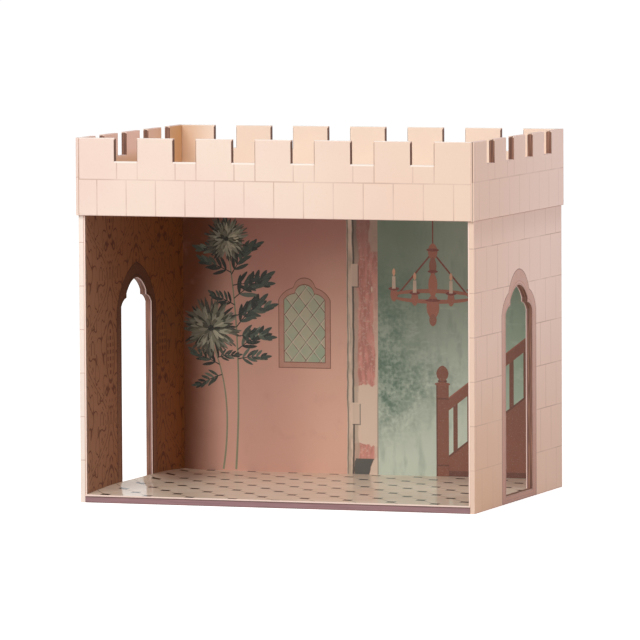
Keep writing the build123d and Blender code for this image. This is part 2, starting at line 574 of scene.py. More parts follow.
@dataclass
class Battlements:
    """The ring of parapet boards and the deck of the roof tray inside it."""

    merlon: float = 33.0 * MM
    crenel: float = 20.6 * MM
    crenel_depth: float = 20.0 * MM
    joint: float = 1.05 * MM
    seams: dict[str, Point] = field(
        default_factory=lambda: {"parapet_left": (0.1, 0.5), "parapet_right": (0.95, 0.5)}
    )

    def dress(self) -> None:
        """Gives each board its paper."""
        tray = (Ink.TRAY, Ink.TRAY)
        # painted shade: the left board's inside turns orange towards the back and the deck
        tray_side_shaded = (Ink.TRAY_SIDE, Ink.TRAY_CORNER_SHADE)
        core = (Ink.CORE, Ink.CORE_DARK)
        side_core = (Ink.CUT, Ink.CUT_DARK)
        for node, run, outward, inside, brown in (
            ("parapet_front", Run.ACROSS, -1, tray, core),
            ("parapet_back", Run.ACROSS, 1, tray, core),
            ("parapet_left", Run.DEEP, -1, tray_side_shaded, side_core),
            ("parapet_right", Run.DEEP, 1, (Ink.TRAY_SIDE, Ink.TRAY_SIDE), side_core),
        ):
            finish = StonePaper(
                f"stone_{node}",
                run,
                outward,
                inside,
                brown,
                joint=self.joint,
                strength=0.42 if run is Run.ACROSS else 0.32,
                warmth=0.4,
            )
            dress(node, finish.parapet(self._layout(node, run)))
        deck = Graph("tray_deck")
        cloud = deck.ease(deck.noise(16.0), 0.3, 0.7)
        ceiling = deck.ease(deck.facing[2], 0.0, -0.5)
        colour = deck.mix(cloud, Ink.TRAY, Ink.TRAY.shade(0.95))
        dress("roof_board", deck.paper(deck.mix(ceiling, colour, Ink.DAMASK), 0.6))

    def _layout(self, node: str, run: Run) -> CrenelLayout:
        """Returns where crenels and joints fall on one parapet board.

        Args:
            node: Name of the board.
            run: Which way it runs.
        """
        low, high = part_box(node)
        thin = run.value ^ 1
        pitch = self.merlon + self.crenel
        count = int((2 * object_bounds()[1][run.value] - self.merlon) // pitch)
        across = run is Run.ACROSS
        return CrenelLayout(
            half_length=high[run.value],
            middle=(low[thin] + high[thin]) / 2,
            half_board=(high[thin] - low[thin]) / 2,
            top=high[2],
            crenel_foot=high[2] - self.crenel_depth,
            first=-(count - 1) / 2 * pitch,
            pitch=pitch,
            crenel=self.crenel,
            leans=(2.0 * MM, 0.4 * MM) if across else (3.0 * MM, 1.0 * MM),
            course_line=high[2] - (35.7 * MM if across else 34.0 * MM),
            block_start=0.7 * MM if across else -0.5 * MM,
            block=26.87 * MM if across else 27.9 * MM,
            crenel_highlight=0.8 if across else 0.0,
            seams=self.seams.get(node, (0.12, 0.0)),
        )


@dataclass
class Walls:
    """The wall boards, outside."""

    course_start: float = 36.7 * MM
    course: float = 37.6 * MM
    block_start: float = 1.0 * MM
    block: float = 30.0 * MM
    door_reach: float = 40.0 * MM
    # heights of the painted shadow band under the parapet
    parapet_shadow: Point = (222.0 * MM, 247.0 * MM)

    def dress(self) -> None:
        """Gives each wall its masonry."""
        for node, run, outward in (
            ("left_wall", Run.DEEP, -1),
            ("right_wall", Run.DEEP, 1),
            ("back_wall", Run.ACROSS, 1),
        ):
            reach = self.door_reach if run is Run.DEEP else 0.0
            layout = BondLayout(
                course_start=self.course_start,
                course=self.course,
                block_start=self.block_start,
                block=self.block,
                cut_reach=reach,
                parapet_shadow=self.parapet_shadow,
            )
            dress(node, StonePaper(f"stone_{node}", run, outward).wall(layout))


@dataclass
class TiledFloor:
    """The floor board and the satin card on it, printed with octagon and dot tiles."""

    step_x: float = 19.92 * MM
    step_y: float = 20.99 * MM
    start_x: float = -104.8 * MM
    start_y: float = -92.2 * MM
    skew: float = 0.0352
    tilt: float = 0.066
    bow: tuple[float, float, float] = (-0.0825, 0.1457, 0.761)
    dot: float = 8.1 * MM
    dot_edge: float = 0.15 * MM
    joint: float = 0.8 * MM
    joint_shares: Point = (0.9, 0.35)
    roughness: float = 0.42
    gloss: float = 0.5
    gloss_roughness: float = 0.1
    curl: float = 3.3 * MM
    curl_reach: float = 22.0 * MM

    def dress(self) -> None:
        """Gives the floor its tiles and its mauve front edge."""
        tiles = self._tiles()
        dress("floor_lining", tiles)
        self._lifted(tiles)
        dress("floor_board", self._edge())

    def _edge(self) -> bpy.types.Material:
        """Returns the streaked mauve paper of the board, darker along the ground, with a painted shadow
        in the gap under the card.
        """
        graph = Graph("mauve_edge")
        streak = graph.noise(1.0, 3.0, graph.stretched((25.0, 300.0, 600.0)))
        colour = graph.mix(graph.ease(streak, 0.3, 0.7), Ink.MAUVE, Ink.MAUVE.shade(0.88))
        ground = graph.times(graph.ease(graph.z, 1.1 * MM, 0.5 * MM), 0.8)
        colour = graph.mix(ground, colour, Ink.MAUVE_LINE)
        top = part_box("floor_board")[1][2]
        # painted shadow in the gap under the card
        card_gap_shadow = graph.ease(graph.z, top - 1.1 * MM, top - 0.8 * MM)
        return graph.paper(graph.mix(card_gap_shadow, colour, Ink.CREVICE_SHADOW), 0.55)

    def _net(self, graph: Graph) -> list[Socket]:
        """Returns how far a place lies off each of the two sets of slanting lines, in pitches.

        Args:
            graph: The graph to build in.
        """
        wide, deep = (graph.times(value, value) for value in (graph.x, graph.y))
        slant = graph.math("ADD", graph.x, graph.times(graph.y, self.skew))
        slant = graph.math("ADD", slant, graph.times(wide, self.bow[0]))
        across = graph.math("DIVIDE", graph.math("SUBTRACT", slant, self.start_x), 2 * self.step_x)
        slope = graph.math("ADD", graph.y, graph.times(graph.x, self.tilt))
        slope = graph.math("ADD", slope, graph.times(wide, self.bow[1]))
        slope = graph.math("ADD", slope, graph.times(deep, self.bow[2]))
        along = graph.math("DIVIDE", graph.math("SUBTRACT", slope, self.start_y), 2 * self.step_y)
        net = [graph.math(sign, across, along) for sign in ("ADD", "SUBTRACT")]
        return [graph.math("SUBTRACT", value, graph.math("ROUND", value)) for value in net]

    def _tiles(self) -> bpy.types.Material:
        """Returns the tile print: dots on a slanting net, joined by fine lines."""
        graph = Graph("tile_paper")
        off = self._net(graph)
        off_x = graph.times(graph.math("ADD", *off), self.step_x)
        off_y = graph.times(graph.math("SUBTRACT", *off), self.step_y)
        reach = graph.math("MAXIMUM", graph.size_of(off_x), graph.size_of(off_y))
        dots = graph.ease(reach, self.dot / 2 + self.dot_edge, self.dot / 2 - self.dot_edge)
        gap = 2 * self.step_x * self.step_y / math.hypot(self.step_x, self.step_y)
        tile = graph.mix(graph.ease(graph.noise(28.0, 4.0), 0.3, 0.7), Ink.TILE, Ink.TILE_WARM)
        # painted shadow on the floor along the left wall, behind the doorway
        behind = graph.times(graph.ease(graph.y, -0.005, 0.05), graph.ease(graph.y, 0.125, 0.08))
        brown = graph.times(graph.ease(graph.x, -0.108, -0.148), behind, 0.55)
        tile = graph.mix(brown, tile, Ink.TILE_SHADOW)
        for value, share in zip(off, self.joint_shares):
            line = graph.line(graph.times(graph.size_of(value), gap), self.joint)
            tile = graph.mix(graph.times(line, share), tile, Ink.TILE_JOINT)
        tile = graph.mix(dots, tile, Ink.TILE_DOT)
        top = graph.ease(graph.facing[2], 0.4, 0.7)
        material = graph.paper(graph.mix(top, Ink.CARD_EDGE, tile), self.roughness, 0.03)
        graph.shader.inputs["Specular IOR Level"].default_value = 0.1
        graph.shader.inputs["Coat Weight"].default_value = self.gloss
        graph.shader.inputs["Coat Roughness"].default_value = self.gloss_roughness
        return material

    def _lifted(self, tiles: bpy.types.Material) -> None:
        """Lays the top paper of the floor card, which has lifted a little along the left wall.

        Args:
            tiles: Finish of the paper.
        """
        low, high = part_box("floor_lining")
        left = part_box("left_lining")[1][0] + 0.1 * MM
        sheet = PrintSheet("lifted_tiles", Matrix.Translation((0.0, 0.0, high[2])))
        sheet.rise((left, low[1]), (left + self.curl_reach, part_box("back_lining")[0][1]), self._rise)
        sheet.finish("tile_card", tiles)

    def _rise(self, across: float, deep: float) -> float:
        """Returns how far the paper stands off the card.

        Args:
            across: Share of the way across the lifted strip.
            deep: Share of the way along it.
        """
        front = min(1.0, deep / 0.36)
        back = min(1.0, (1 - deep) / 0.32)
        swell = (0.1 + 0.9 * math.sin(math.pi / 2 * front)) * (0.3 + 0.7 * math.sin(math.pi / 2 * back))
        return 0.02 * MM + self.curl * swell * (1 - across) ** 2


class PrintSheet:
    """Flat printed shapes, a hair thick, laid on one face of a board."""

    LEVELS = 41
    LEVEL = 0.0019 * MM

    def __init__(self, name: str, place: Matrix) -> None:
        """Starts an empty sheet.

        Args:
            name: Name of the finished piece.
            place: From the sheet's own across, up and out to the object's frame.
        """
        self.name = name
        self.place = place
        self.mesh = bmesh.new()
        self.ink = self.mesh.loops.layers.float_color.new("ink")
        self.lift = self.mesh.verts.layers.float.new("lift")
        self.count = 0

    def patch(self, outline: Sequence[Point], tone: Tone, lift: float = 0.06 * MM) -> None:
        """Fills an outline.

        Args:
            outline: Its corners in order.
            tone: Colour of the print.
            lift: How far its face stands off the board.
        """
        verts = [self.mesh.verts.new((u, v, 0.0)) for u, v in outline]
        self._colour([self.mesh.faces.new(verts)], tone, lift)

    def bar(self, low: Point, high: Point, tone: Tone, lift: float) -> None:
        """Fills an upright rectangle.

        Args:
            low: Its corner with the smallest values.
            high: Its corner with the largest values.
            tone: Colour of the print.
            lift: How far its face stands off the board.
        """
        self.patch([low, (high[0], low[1]), high, (low[0], high[1])], tone, lift)

    def ring(
        self,
        outer: Sequence[Point],
        inner: Sequence[Point],
        tone: Tone,
        lift: float = 0.06 * MM,
        foot: Tone | None = None,
    ) -> None:
        """Fills the band between two outlines of as many corners.

        Args:
            outer: The larger outline.
            inner: The smaller outline.
            tone: Colour of the print.
            lift: How far its face stands off the board.
            foot: Colour at its lowest corners, if not the same.
        """
        edges = []
        for outline in (outer, inner):
            verts = [self.mesh.verts.new((u, v, 0.0)) for u, v in outline]
            edges += [self.mesh.edges.new(pair) for pair in zip(verts, verts[1:] + verts[:1])]
        made = bmesh.ops.bridge_loops(self.mesh, edges=edges)
        self._colour(made["faces"], tone, lift)
        low = min(v for _, v in inner) + 1 * MM
        for loop in (loop for face in made["faces"] for loop in face.loops):
            if foot and loop.vert.co.y < low:
                loop[self.ink] = foot.linear()

    def rise(
        self, low: Point, high: Point, lift: Callable[[float, float], float], steps: int = 40
    ) -> None:
        """Lays a rectangle of paper that stands off the board unevenly.

        Args:
            low: Its corner with the smallest values.
            high: Its corner with the largest values.
            lift: How far it stands off, at shares of the way across and up.
            steps: How many rows and columns it is made of.
        """
        made = bmesh.ops.create_grid(self.mesh, x_segments=steps, y_segments=steps, size=0.5)
        for vert in made["verts"]:
            share = (vert.co.x + 0.5, vert.co.y + 0.5)
            vert[self.lift] = lift(*share)
            vert.co.x = low[0] + (high[0] - low[0]) * share[0]
            vert.co.y = low[1] + (high[1] - low[1]) * share[1]

    def disc(
        self, middle: Point, radii: Point, tone: Tone, lift: float = 0.06 * MM, sides: int = 24
    ) -> None:
        """Fills an ellipse.

        Args:
            middle: Its middle.
            radii: Its reach across and up.
            tone: Colour of the print.
            lift: How far its face stands off the board.
            sides: How many sides it is drawn with.
        """
        stretch = Matrix.Diagonal((radii[0], radii[1], 1.0, 1.0))
        place = Matrix.Translation((middle[0], middle[1], 0.0)) @ stretch
        made = bmesh.ops.create_circle(self.mesh, cap_ends=True, segments=sides, radius=1.0, matrix=place)
        self._colour(made["verts"][0].link_faces, tone, lift)

    def leaf(
        self,
        root: Point,
        turn: float,
        size: Point,
        tone: Tone,
        lift: float = 0.06 * MM,
        blunt: float = 0.6,
        bend: float = 0.0,
    ) -> None:
        """Fills a leaf or petal that grows from a point.

        Args:
            root: Where it grows from.
            turn: The way it points, in degrees from across.
            size: Its length and width.
            tone: Colour of the print.
            lift: How far its face stands off the board.
            blunt: 0 for a round leaf, 1 for one with long points.
            bend: How far its tip bends aside, as a share of its length.
        """
        made = bmesh.ops.create_circle(self.mesh, cap_ends=True, segments=14, radius=1.0)
        place = Matrix.Translation((root[0], root[1], 0.0)) @ Matrix.Rotation(math.radians(turn), 4, "Z")
        for vert in made["verts"]:
            share = (vert.co.x + 1) / 2
            side = vert.co.y * abs(vert.co.y) ** blunt
            aside = side * size[1] / 2 + bend * size[0] * share**2
            vert.co = place @ Vector((share * size[0], aside, 0.0))
        self._colour(made["verts"][0].link_faces, tone, lift)

    def stroke(
        self,
        line: Callable[[float], Point],
        widths: Point,
        tone: Tone,
        lift: float = 0.06 * MM,
        steps: int = 14,
    ) -> None:
        """Draws a line that tapers from one width to another.

        Args:
            line: The point at each share of the way along.
            widths: Width at the start and at the end.
            tone: Colour of the print.
            lift: How far its face stands off the board.
            steps: How many straight runs it has.
        """
        made = bmesh.ops.create_grid(self.mesh, x_segments=steps, y_segments=1, size=1.0)
        for vert in made["verts"]:
            share = (vert.co.x + 1) / 2
            ahead = Vector(line(min(1.0, share + 0.01))) - Vector(line(max(0.0, share - 0.01)))
            aside = Vector((-ahead.y, ahead.x)).normalized()
            width = widths[0] + (widths[1] - widths[0]) * share
            spot = Vector(line(share)) + aside * (vert.co.y * width / 2)
            vert.co = (spot.x, spot.y, 0.0)
        self._colour({face for vert in made["verts"] for face in vert.link_faces}, tone, lift)

    def _colour(self, faces: Iterable[bmesh.types.BMFace], tone: Tone, lift: float) -> None:
        """Gives the faces of one shape their ink, and a height that no shape near it shares.

        Args:
            faces: The flat faces of the shape.
            tone: Colour of the print.
            lift: How far the shape's face stands off the board.
        """
        self.count += 1
        colour = tone.linear()
        height = lift + self.count % self.LEVELS * self.LEVEL
        for face in faces:
            for loop in face.loops:
                loop[self.ink] = colour
                loop.vert[self.lift] = height

    def finish(self, slot: str, material: bpy.types.Material) -> bpy.types.Object:
        """Gives all shapes their thickness and makes the sheet a piece of the object.

        Args:
            slot: The record's material slot that it goes with; not used.
            material: Its finish.

        Returns:
            The piece.
        """
        made = bmesh.ops.extrude_face_region(self.mesh, geom=list(self.mesh.faces), use_keep_orig=True)
        for item in made["geom"]:
            if isinstance(item, bmesh.types.BMVert):
                item.co.z = item[self.lift]
        bmesh.ops.recalc_face_normals(self.mesh, faces=list(self.mesh.faces))
        bmesh.ops.transform(self.mesh, matrix=self.place, verts=list(self.mesh.verts))
        data = bpy.data.meshes.new(self.name)
        self.mesh.to_mesh(data)
        self.mesh.free()
        piece = bpy.data.objects.new(self.name, data)
        bpy.context.scene.collection.objects.link(piece)
        data.materials.append(material)
        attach(piece, BODY)
        LOG.info("%s: %d faces of print", self.name, len(data.polygons))
        return piece


class Plane(Enum):
    """The faces that carry separate prints: how a sheet lies on each."""

    BACK = ("back_lining", 1, 0, (1, 0, 0))
    LEFT_INNER = ("left_lining", 0, 1, (0, 1, 0))
    RIGHT_INNER = ("right_lining", 0, 0, (0, -1, 0))
    LEFT_OUTER = ("left_wall", 0, 0, (0, -1, 0))
    RIGHT_OUTER = ("right_wall", 0, 1, (0, 1, 0))

    def matrix(self) -> Matrix:
        """Returns the way from a sheet's across, up and out to the object's frame."""
        node, axis, corner, across = self.value
        up = Vector((0, 0, 1))
        across = Vector(across)
        out = across.cross(up)
        origin = Vector((0, 0, 0))
        origin[axis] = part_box(node)[corner][axis]
        place = Matrix((across, up, out)).transposed().to_4x4()
        return Matrix.Translation(origin) @ place


def printed_ink(name: str, roughness: float, mottle: float) -> bpy.types.Material:
    """The finish of separate prints: each shape's own ink, a little uneven.

    Args:
        name: Name of the material.
        roughness: How matt the paper is.
        mottle: How uneven the ink is.

    Returns:
        The material.
    """
    graph = Graph(name)
    ink = graph.tree.nodes.new("ShaderNodeVertexColor")
    ink.layer_name = "ink"
    cloud = graph.times(graph.ease(graph.noise(160.0, 5.0), 0.3, 0.72), mottle)
    worn = graph.mix(cloud, ink.outputs[0], (0.9, 0.72, 0.62, 1.0), "MULTIPLY")
    grain = graph.times(graph.ease(graph.noise(900.0, 2.0), 0.55, 0.75), mottle * 0.5)
    return graph.paper(graph.mix(grain, worn, (0.8, 0.7, 0.6, 1.0)), roughness)


def dress(node: str, material: bpy.types.Material) -> None:
    """Gives a board its finish.

    Args:
        node: Name of the board.
        material: Its finish.
    """
    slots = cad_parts[node].data.materials
    slots.clear()
    slots.append(material)
    LOG.info("%s wears %s", node, material.name)


def bowed(start: Point, end: Point, bow: float, steps: int) -> list[Point]:
    """Points of a shallow curve, without its end.

    Args:
        start: Its first point.
        end: Its last point.
        bow: How far its middle stands off the straight line, on the right.
        steps: How many straight runs it has.

    Returns:
        The points from start up to the one before end.
    """
    chord = Vector(end) - Vector(start)
    aside = Vector((chord.y, -chord.x)).normalized()
    shares = [index / steps for index in range(steps)]
    spots = [Vector(start) + chord * t + aside * (4 * bow * t * (1 - t)) for t in shares]
    return [(spot.x, spot.y) for spot in spots]


@dataclass(frozen=True)
class ArchShape:
    """A shouldered arch: straight jambs, bowed shoulders and a low pointed crown."""

    half_width: float
    foot: float
    jamb_top: float
    shoulder_run: float
    shoulder_rise: float
    step: float
    rise: float
    shoulder_bow: float
    arch_bow: float

    def pointed(self, grow: float, foot: float, steps: int = 9) -> list[Point]:
        """Returns a plain pointed arch round the opening, anticlockwise from the right foot.

        Args:
            grow: How far outside the opening the outline runs.
            foot: Height of its foot.
            steps: How many straight runs each half of a side has.
        """
        jamb = (self.half_width + grow, self.jamb_top - 2 * MM)
        crown = (0.0, self.jamb_top + self.shoulder_rise + self.step + self.rise + 1.2 * grow)
        side = bowed(jamb, crown, 8.0 * MM, 2 * steps + 1)
        half = [(jamb[0], foot)] + side
        return half + [crown] + [(-u, v) for u, v in reversed(half)]

    def outline(self, grow: float, foot: float | None = None, steps: int = 9) -> list[Point]:
        """Returns the outline, anticlockwise from the right foot.

        Args:
            grow: How far outside the opening the outline runs.
            foot: Height of its foot, if not that of the opening.
            steps: How many straight runs each curve has.
        """
        jamb = self.half_width + grow
        notch = (
            self.half_width - self.shoulder_run + 0.45 * grow,
            self.jamb_top + self.shoulder_rise + 0.97 * grow,
        )
        spring = (notch[0] - 0.25 * grow, notch[1] + self.step + 0.08 * grow)
        crown = (0.0, self.jamb_top + self.shoulder_rise + self.step + self.rise + 1.2 * grow)
        low = self.foot if foot is None else foot
        half = [(jamb, low)]
        half += bowed((jamb, self.jamb_top), notch, self.shoulder_bow * (1 + 80 * grow), steps)
        half += [notch]
        half += bowed(spring, crown, self.arch_bow * (1 + 20 * grow), steps)
        return half + [crown] + [(-u, v) for u, v in reversed(half)]


@dataclass
class Doorways:
    """The printed frames round both doorways, outside and inside."""

    band: float = 11.5 * MM
    line: float = 0.7 * MM
    fine_line: float = 0.6 * MM
    margin: float = 0.25 * MM
    bead: float = 2.45 * MM
    ground_gap: float = 0.4 * MM
    inner_line: float = 0.9 * MM
    inner_bead: Point = (1.6 * MM, 2.6 * MM)

    def shape(self) -> ArchShape:
        """Returns the doorways' own outline."""
        return ArchShape(
            half_width=37.0 * MM,
            foot=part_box("floor_lining")[1][2],
            jamb_top=163.0 * MM,
            shoulder_run=13.0 * MM,
            shoulder_rise=7.0 * MM,
            step=4.0 * MM,
            rise=12.6 * MM,
            shoulder_bow=1.7 * MM,
            arch_bow=2.95 * MM,
        )

    def build(self, ink: bpy.types.Material) -> None:
        """Prints a frame on each of the four faces.

        Args:
            ink: Finish of the prints.
        """
        for plane, frame_print, slot in (
            (Plane.LEFT_OUTER, self._outer, "stone_board"),
            (Plane.RIGHT_OUTER, self._outer, "stone_board"),
            (Plane.LEFT_INNER, self._inner, "damask_card"),
            (Plane.RIGHT_INNER, self._inner, "damask_card"),
        ):
            sheet = PrintSheet(f"{plane.name.lower()}_door_frame", plane.matrix())
            frame_print(sheet)
            sheet.finish(slot, ink)

    def _outer(self, sheet: PrintSheet) -> None:
        """Prints the rose frame of an outer face, which also runs under the sill.

        Args:
            sheet: The sheet to print on.
        """
        shape = self.shape()
        low, sill = self.ground_gap, shape.foot - self.margin
        inks = (Ink.OUTER_FRAME, Ink.OUTER_FRAME_FOOT, Ink.OUTER_FRAME_LINE)
        rose, foot, dark = (ink.value for ink in inks)
        rim = self.margin + self.fine_line
        bead = self.bead + self.fine_line
        for inner, outer, feet, tone, low_tone, lift in (
            (self.margin, self.band, (low, sill), rose, foot, 0.05 * MM),
            (self.band - self.line, self.band, (low, low + self.line), dark, dark.shade(0.85), 0.08 * MM),
            (self.bead, bead, (low + 2.4 * MM, low + 2.9 * MM), dark.shade(1.2), dark, 0.08 * MM),
            (self.margin, rim, (shape.foot - 0.9 * MM, sill), dark.shade(1.1), dark, 0.09 * MM),
        ):
            sheet.ring(shape.outline(outer, feet[0]), shape.outline(inner, feet[1]), tone, lift, low_tone)

    def _inner(self, sheet: PrintSheet) -> None:
        """Prints the dark frame of an inner face, which stands on the floor.

        Args:
            sheet: The sheet to print on.
        """
        shape = self.shape()
        low = shape.foot + 0.05 * MM
        inks = (Ink.INNER_FRAME, Ink.INNER_FRAME_FOOT, Ink.INNER_FRAME_LINE)
        tone, foot, dark = (ink.value for ink in inks)
        around = shape.pointed(self.band, low)
        sheet.ring(around, shape.outline(self.margin, low + 0.01 * MM), tone, 0.05 * MM, foot)
        sheet.ring(around, shape.pointed(self.band - self.inner_line, low), dark, 0.08 * MM)
        inner, outer = (shape.outline(grow, low) for grow in self.inner_bead)
        sheet.ring(outer, inner, dark, 0.08 * MM)


@dataclass
class DamaskLinings:
    """The brown damask of the side linings: ogee bands, curls and beaded ovals in a half-drop repeat."""

    cell_width: float = 64.0 * MM
    cell_height: float = 126.0 * MM
    sway: float = 27.0 * MM
    twin_gap: float = 7.0 * MM
    oval: Point = (10.0 * MM, 26.0 * MM)
    line: float = 1.5 * MM
    bead: Point = (6.6 * MM, 6.0 * MM)
    edge_wear: float = 8.0 * MM
    pale_ply: float = 0.6 * MM
    doorway_reach: Point = (45.0 * MM, 50.0 * MM)
    roughness: float = 0.5

    def dress(self) -> None:
        """Gives the linings their brown ground, deeper towards the back, their figure and cut edges."""
        for node in ("left_lining", "right_lining"):
            graph = Graph(f"damask_{node}")
            deep = graph.ease(graph.math("ADD", graph.y, graph.drift(12.0, 3.0, 0.07)), -0.12, 0.05)
            ground = graph.mix(deep, Ink.DAMASK, Ink.DAMASK_DEEP)
            weave = graph.noise(1.0, 4.0, graph.stretched((60.0, 700.0, 90.0)))
            thread = graph.times(graph.ease(weave, 0.4, 0.7), 0.25)
            ground = graph.mix(thread, ground, Ink.DAMASK_DEEP.shade(0.9))
            ground = graph.mix(graph.times(self._figure(graph), 0.85), ground, Ink.DAMASK_FIGURE)
            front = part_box(node)[0][1]
            worn = graph.times(graph.ease(graph.y, front + self.edge_wear, front), 0.35)
            ground = graph.mix(worn, ground, Ink.DAMASK_WORN)
            broad = graph.ease(graph.size_of(graph.facing[0]), 0.4, 0.7)
            dress(node, graph.paper(graph.mix(broad, self._edge(graph, node), ground), self.roughness))

    def _edge(self, graph: Graph, node: str) -> Socket:
        """Returns the cut edge: pale at the front, and mauve with one pale ply round the doorway.

        Args:
            graph: The graph to build in.
            node: The lining.
        """
        low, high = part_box(node)
        room = min(abs(low[0]), abs(high[0])) + self.pale_ply
        hidden = graph.ease(graph.size_of(graph.x), room - 0.1 * MM, room + 0.1 * MM)
        doorway = graph.ease(graph.size_of(graph.y), self.doorway_reach[1], self.doorway_reach[0])
        return graph.mix(graph.times(hidden, doorway), Ink.CARD_EDGE, Ink.MAUVE)

    def _figure(self, graph: Graph) -> Socket:
        """Returns the mask of the figure.

        Args:
            graph: The graph to build in.
        """
        column = graph.math("ROUND", graph.math("DIVIDE", graph.y, self.cell_width))
        drop = graph.times(graph.math("FLOORED_MODULO", column, 2.0), self.cell_height / 2)
        across = graph.apart(graph.y, graph.times(column, self.cell_width))
        up = graph.math("FLOORED_MODULO", graph.math("ADD", graph.z, drop), self.cell_height)
        up = graph.math("SUBTRACT", up, self.cell_height / 2)
        flat = graph.point(across, graph.times(up, 0.6), 0.0)
        breaks = graph.ease(graph.noise(120.0, 1.0, flat), 0.34, 0.44)
        reach = [graph.math("DIVIDE", value, size) for value, size in zip((across, up), self.oval)]
        inside = graph.math("SQRT", graph.math("ADD", *(graph.times(value, value) for value in reach)))
        band, dashes = self._bands(graph, across, up)
        rim, beads = self._beaded_oval(graph, across, up, inside)
        figure = graph.times(graph.math("MAXIMUM", band, rim), breaks)
        for part in (dashes, beads, self._scrolls(graph, flat, inside)):
            figure = graph.math("MAXIMUM", figure, part)
        return figure

    def _bands(self, graph: Graph, across: Socket, up: Socket) -> tuple[Socket, Socket]:
        """Returns the masks of the ogee band and of the row of dashes beside it.

        Args:
            graph: The graph to build in.
            across: Distance from the middle of the cell.
            up: Height over the middle of the cell.
        """
        wave = graph.math("COSINE", graph.times(up, 2 * math.pi / self.cell_height))
        off = graph.apart(across, graph.math("ADD", graph.times(wave, self.sway), self.cell_width / 2))
        twin = graph.line(graph.apart(off, self.twin_gap), self.line)
        gaps = graph.ease(graph.spacing(up, 0.0, self.bead[1]), 1.8 * MM, 1.2 * MM)
        return (graph.line(off, self.line), graph.times(twin, gaps))

    def _beaded_oval(
        self, graph: Graph, across: Socket, up: Socket, inside: Socket
    ) -> tuple[Socket, Socket]:
        """Returns the masks of an oval's rim and of the beads in it.

        Args:
            graph: The graph to build in.
            across: Distance from the middle of the cell.
            up: Height over the middle of the cell.
            inside: Distance from the middle, 1 at the rim.
        """
        rim = graph.line(graph.times(graph.apart(inside, 1.0), self.oval[0]), self.line)
        rows = [graph.spacing(value, 0.0, pitch) for value, pitch in zip((across, up), self.bead)]
        beads = graph.ease(graph.math("MAXIMUM", *rows), 2.2 * MM, 1.4 * MM)
        return (rim, graph.times(beads, graph.ease(inside, 0.85, 0.7)))

    def _scrolls(self, graph: Graph, flat: Socket, inside: Socket) -> Socket:
        """Returns the mask of the curls and small leaves round an oval.

        Args:
            graph: The graph to build in.
            flat: Place in the cell.
            inside: Distance from the middle, 1 at the rim.
        """
        level = graph.apart(graph.noise(58.0, 1.0, flat), 0.52)
        curls = graph.times(graph.ease(level, 0.022, 0.008), graph.ease(inside, 1.1, 1.3))
        leaves = graph.ease(graph.noise(150.0, 1.0, flat), 0.68, 0.72)
        leaves = graph.times(leaves, graph.ease(inside, 0.9, 1.1))
        return graph.math("MAXIMUM", curls, leaves)


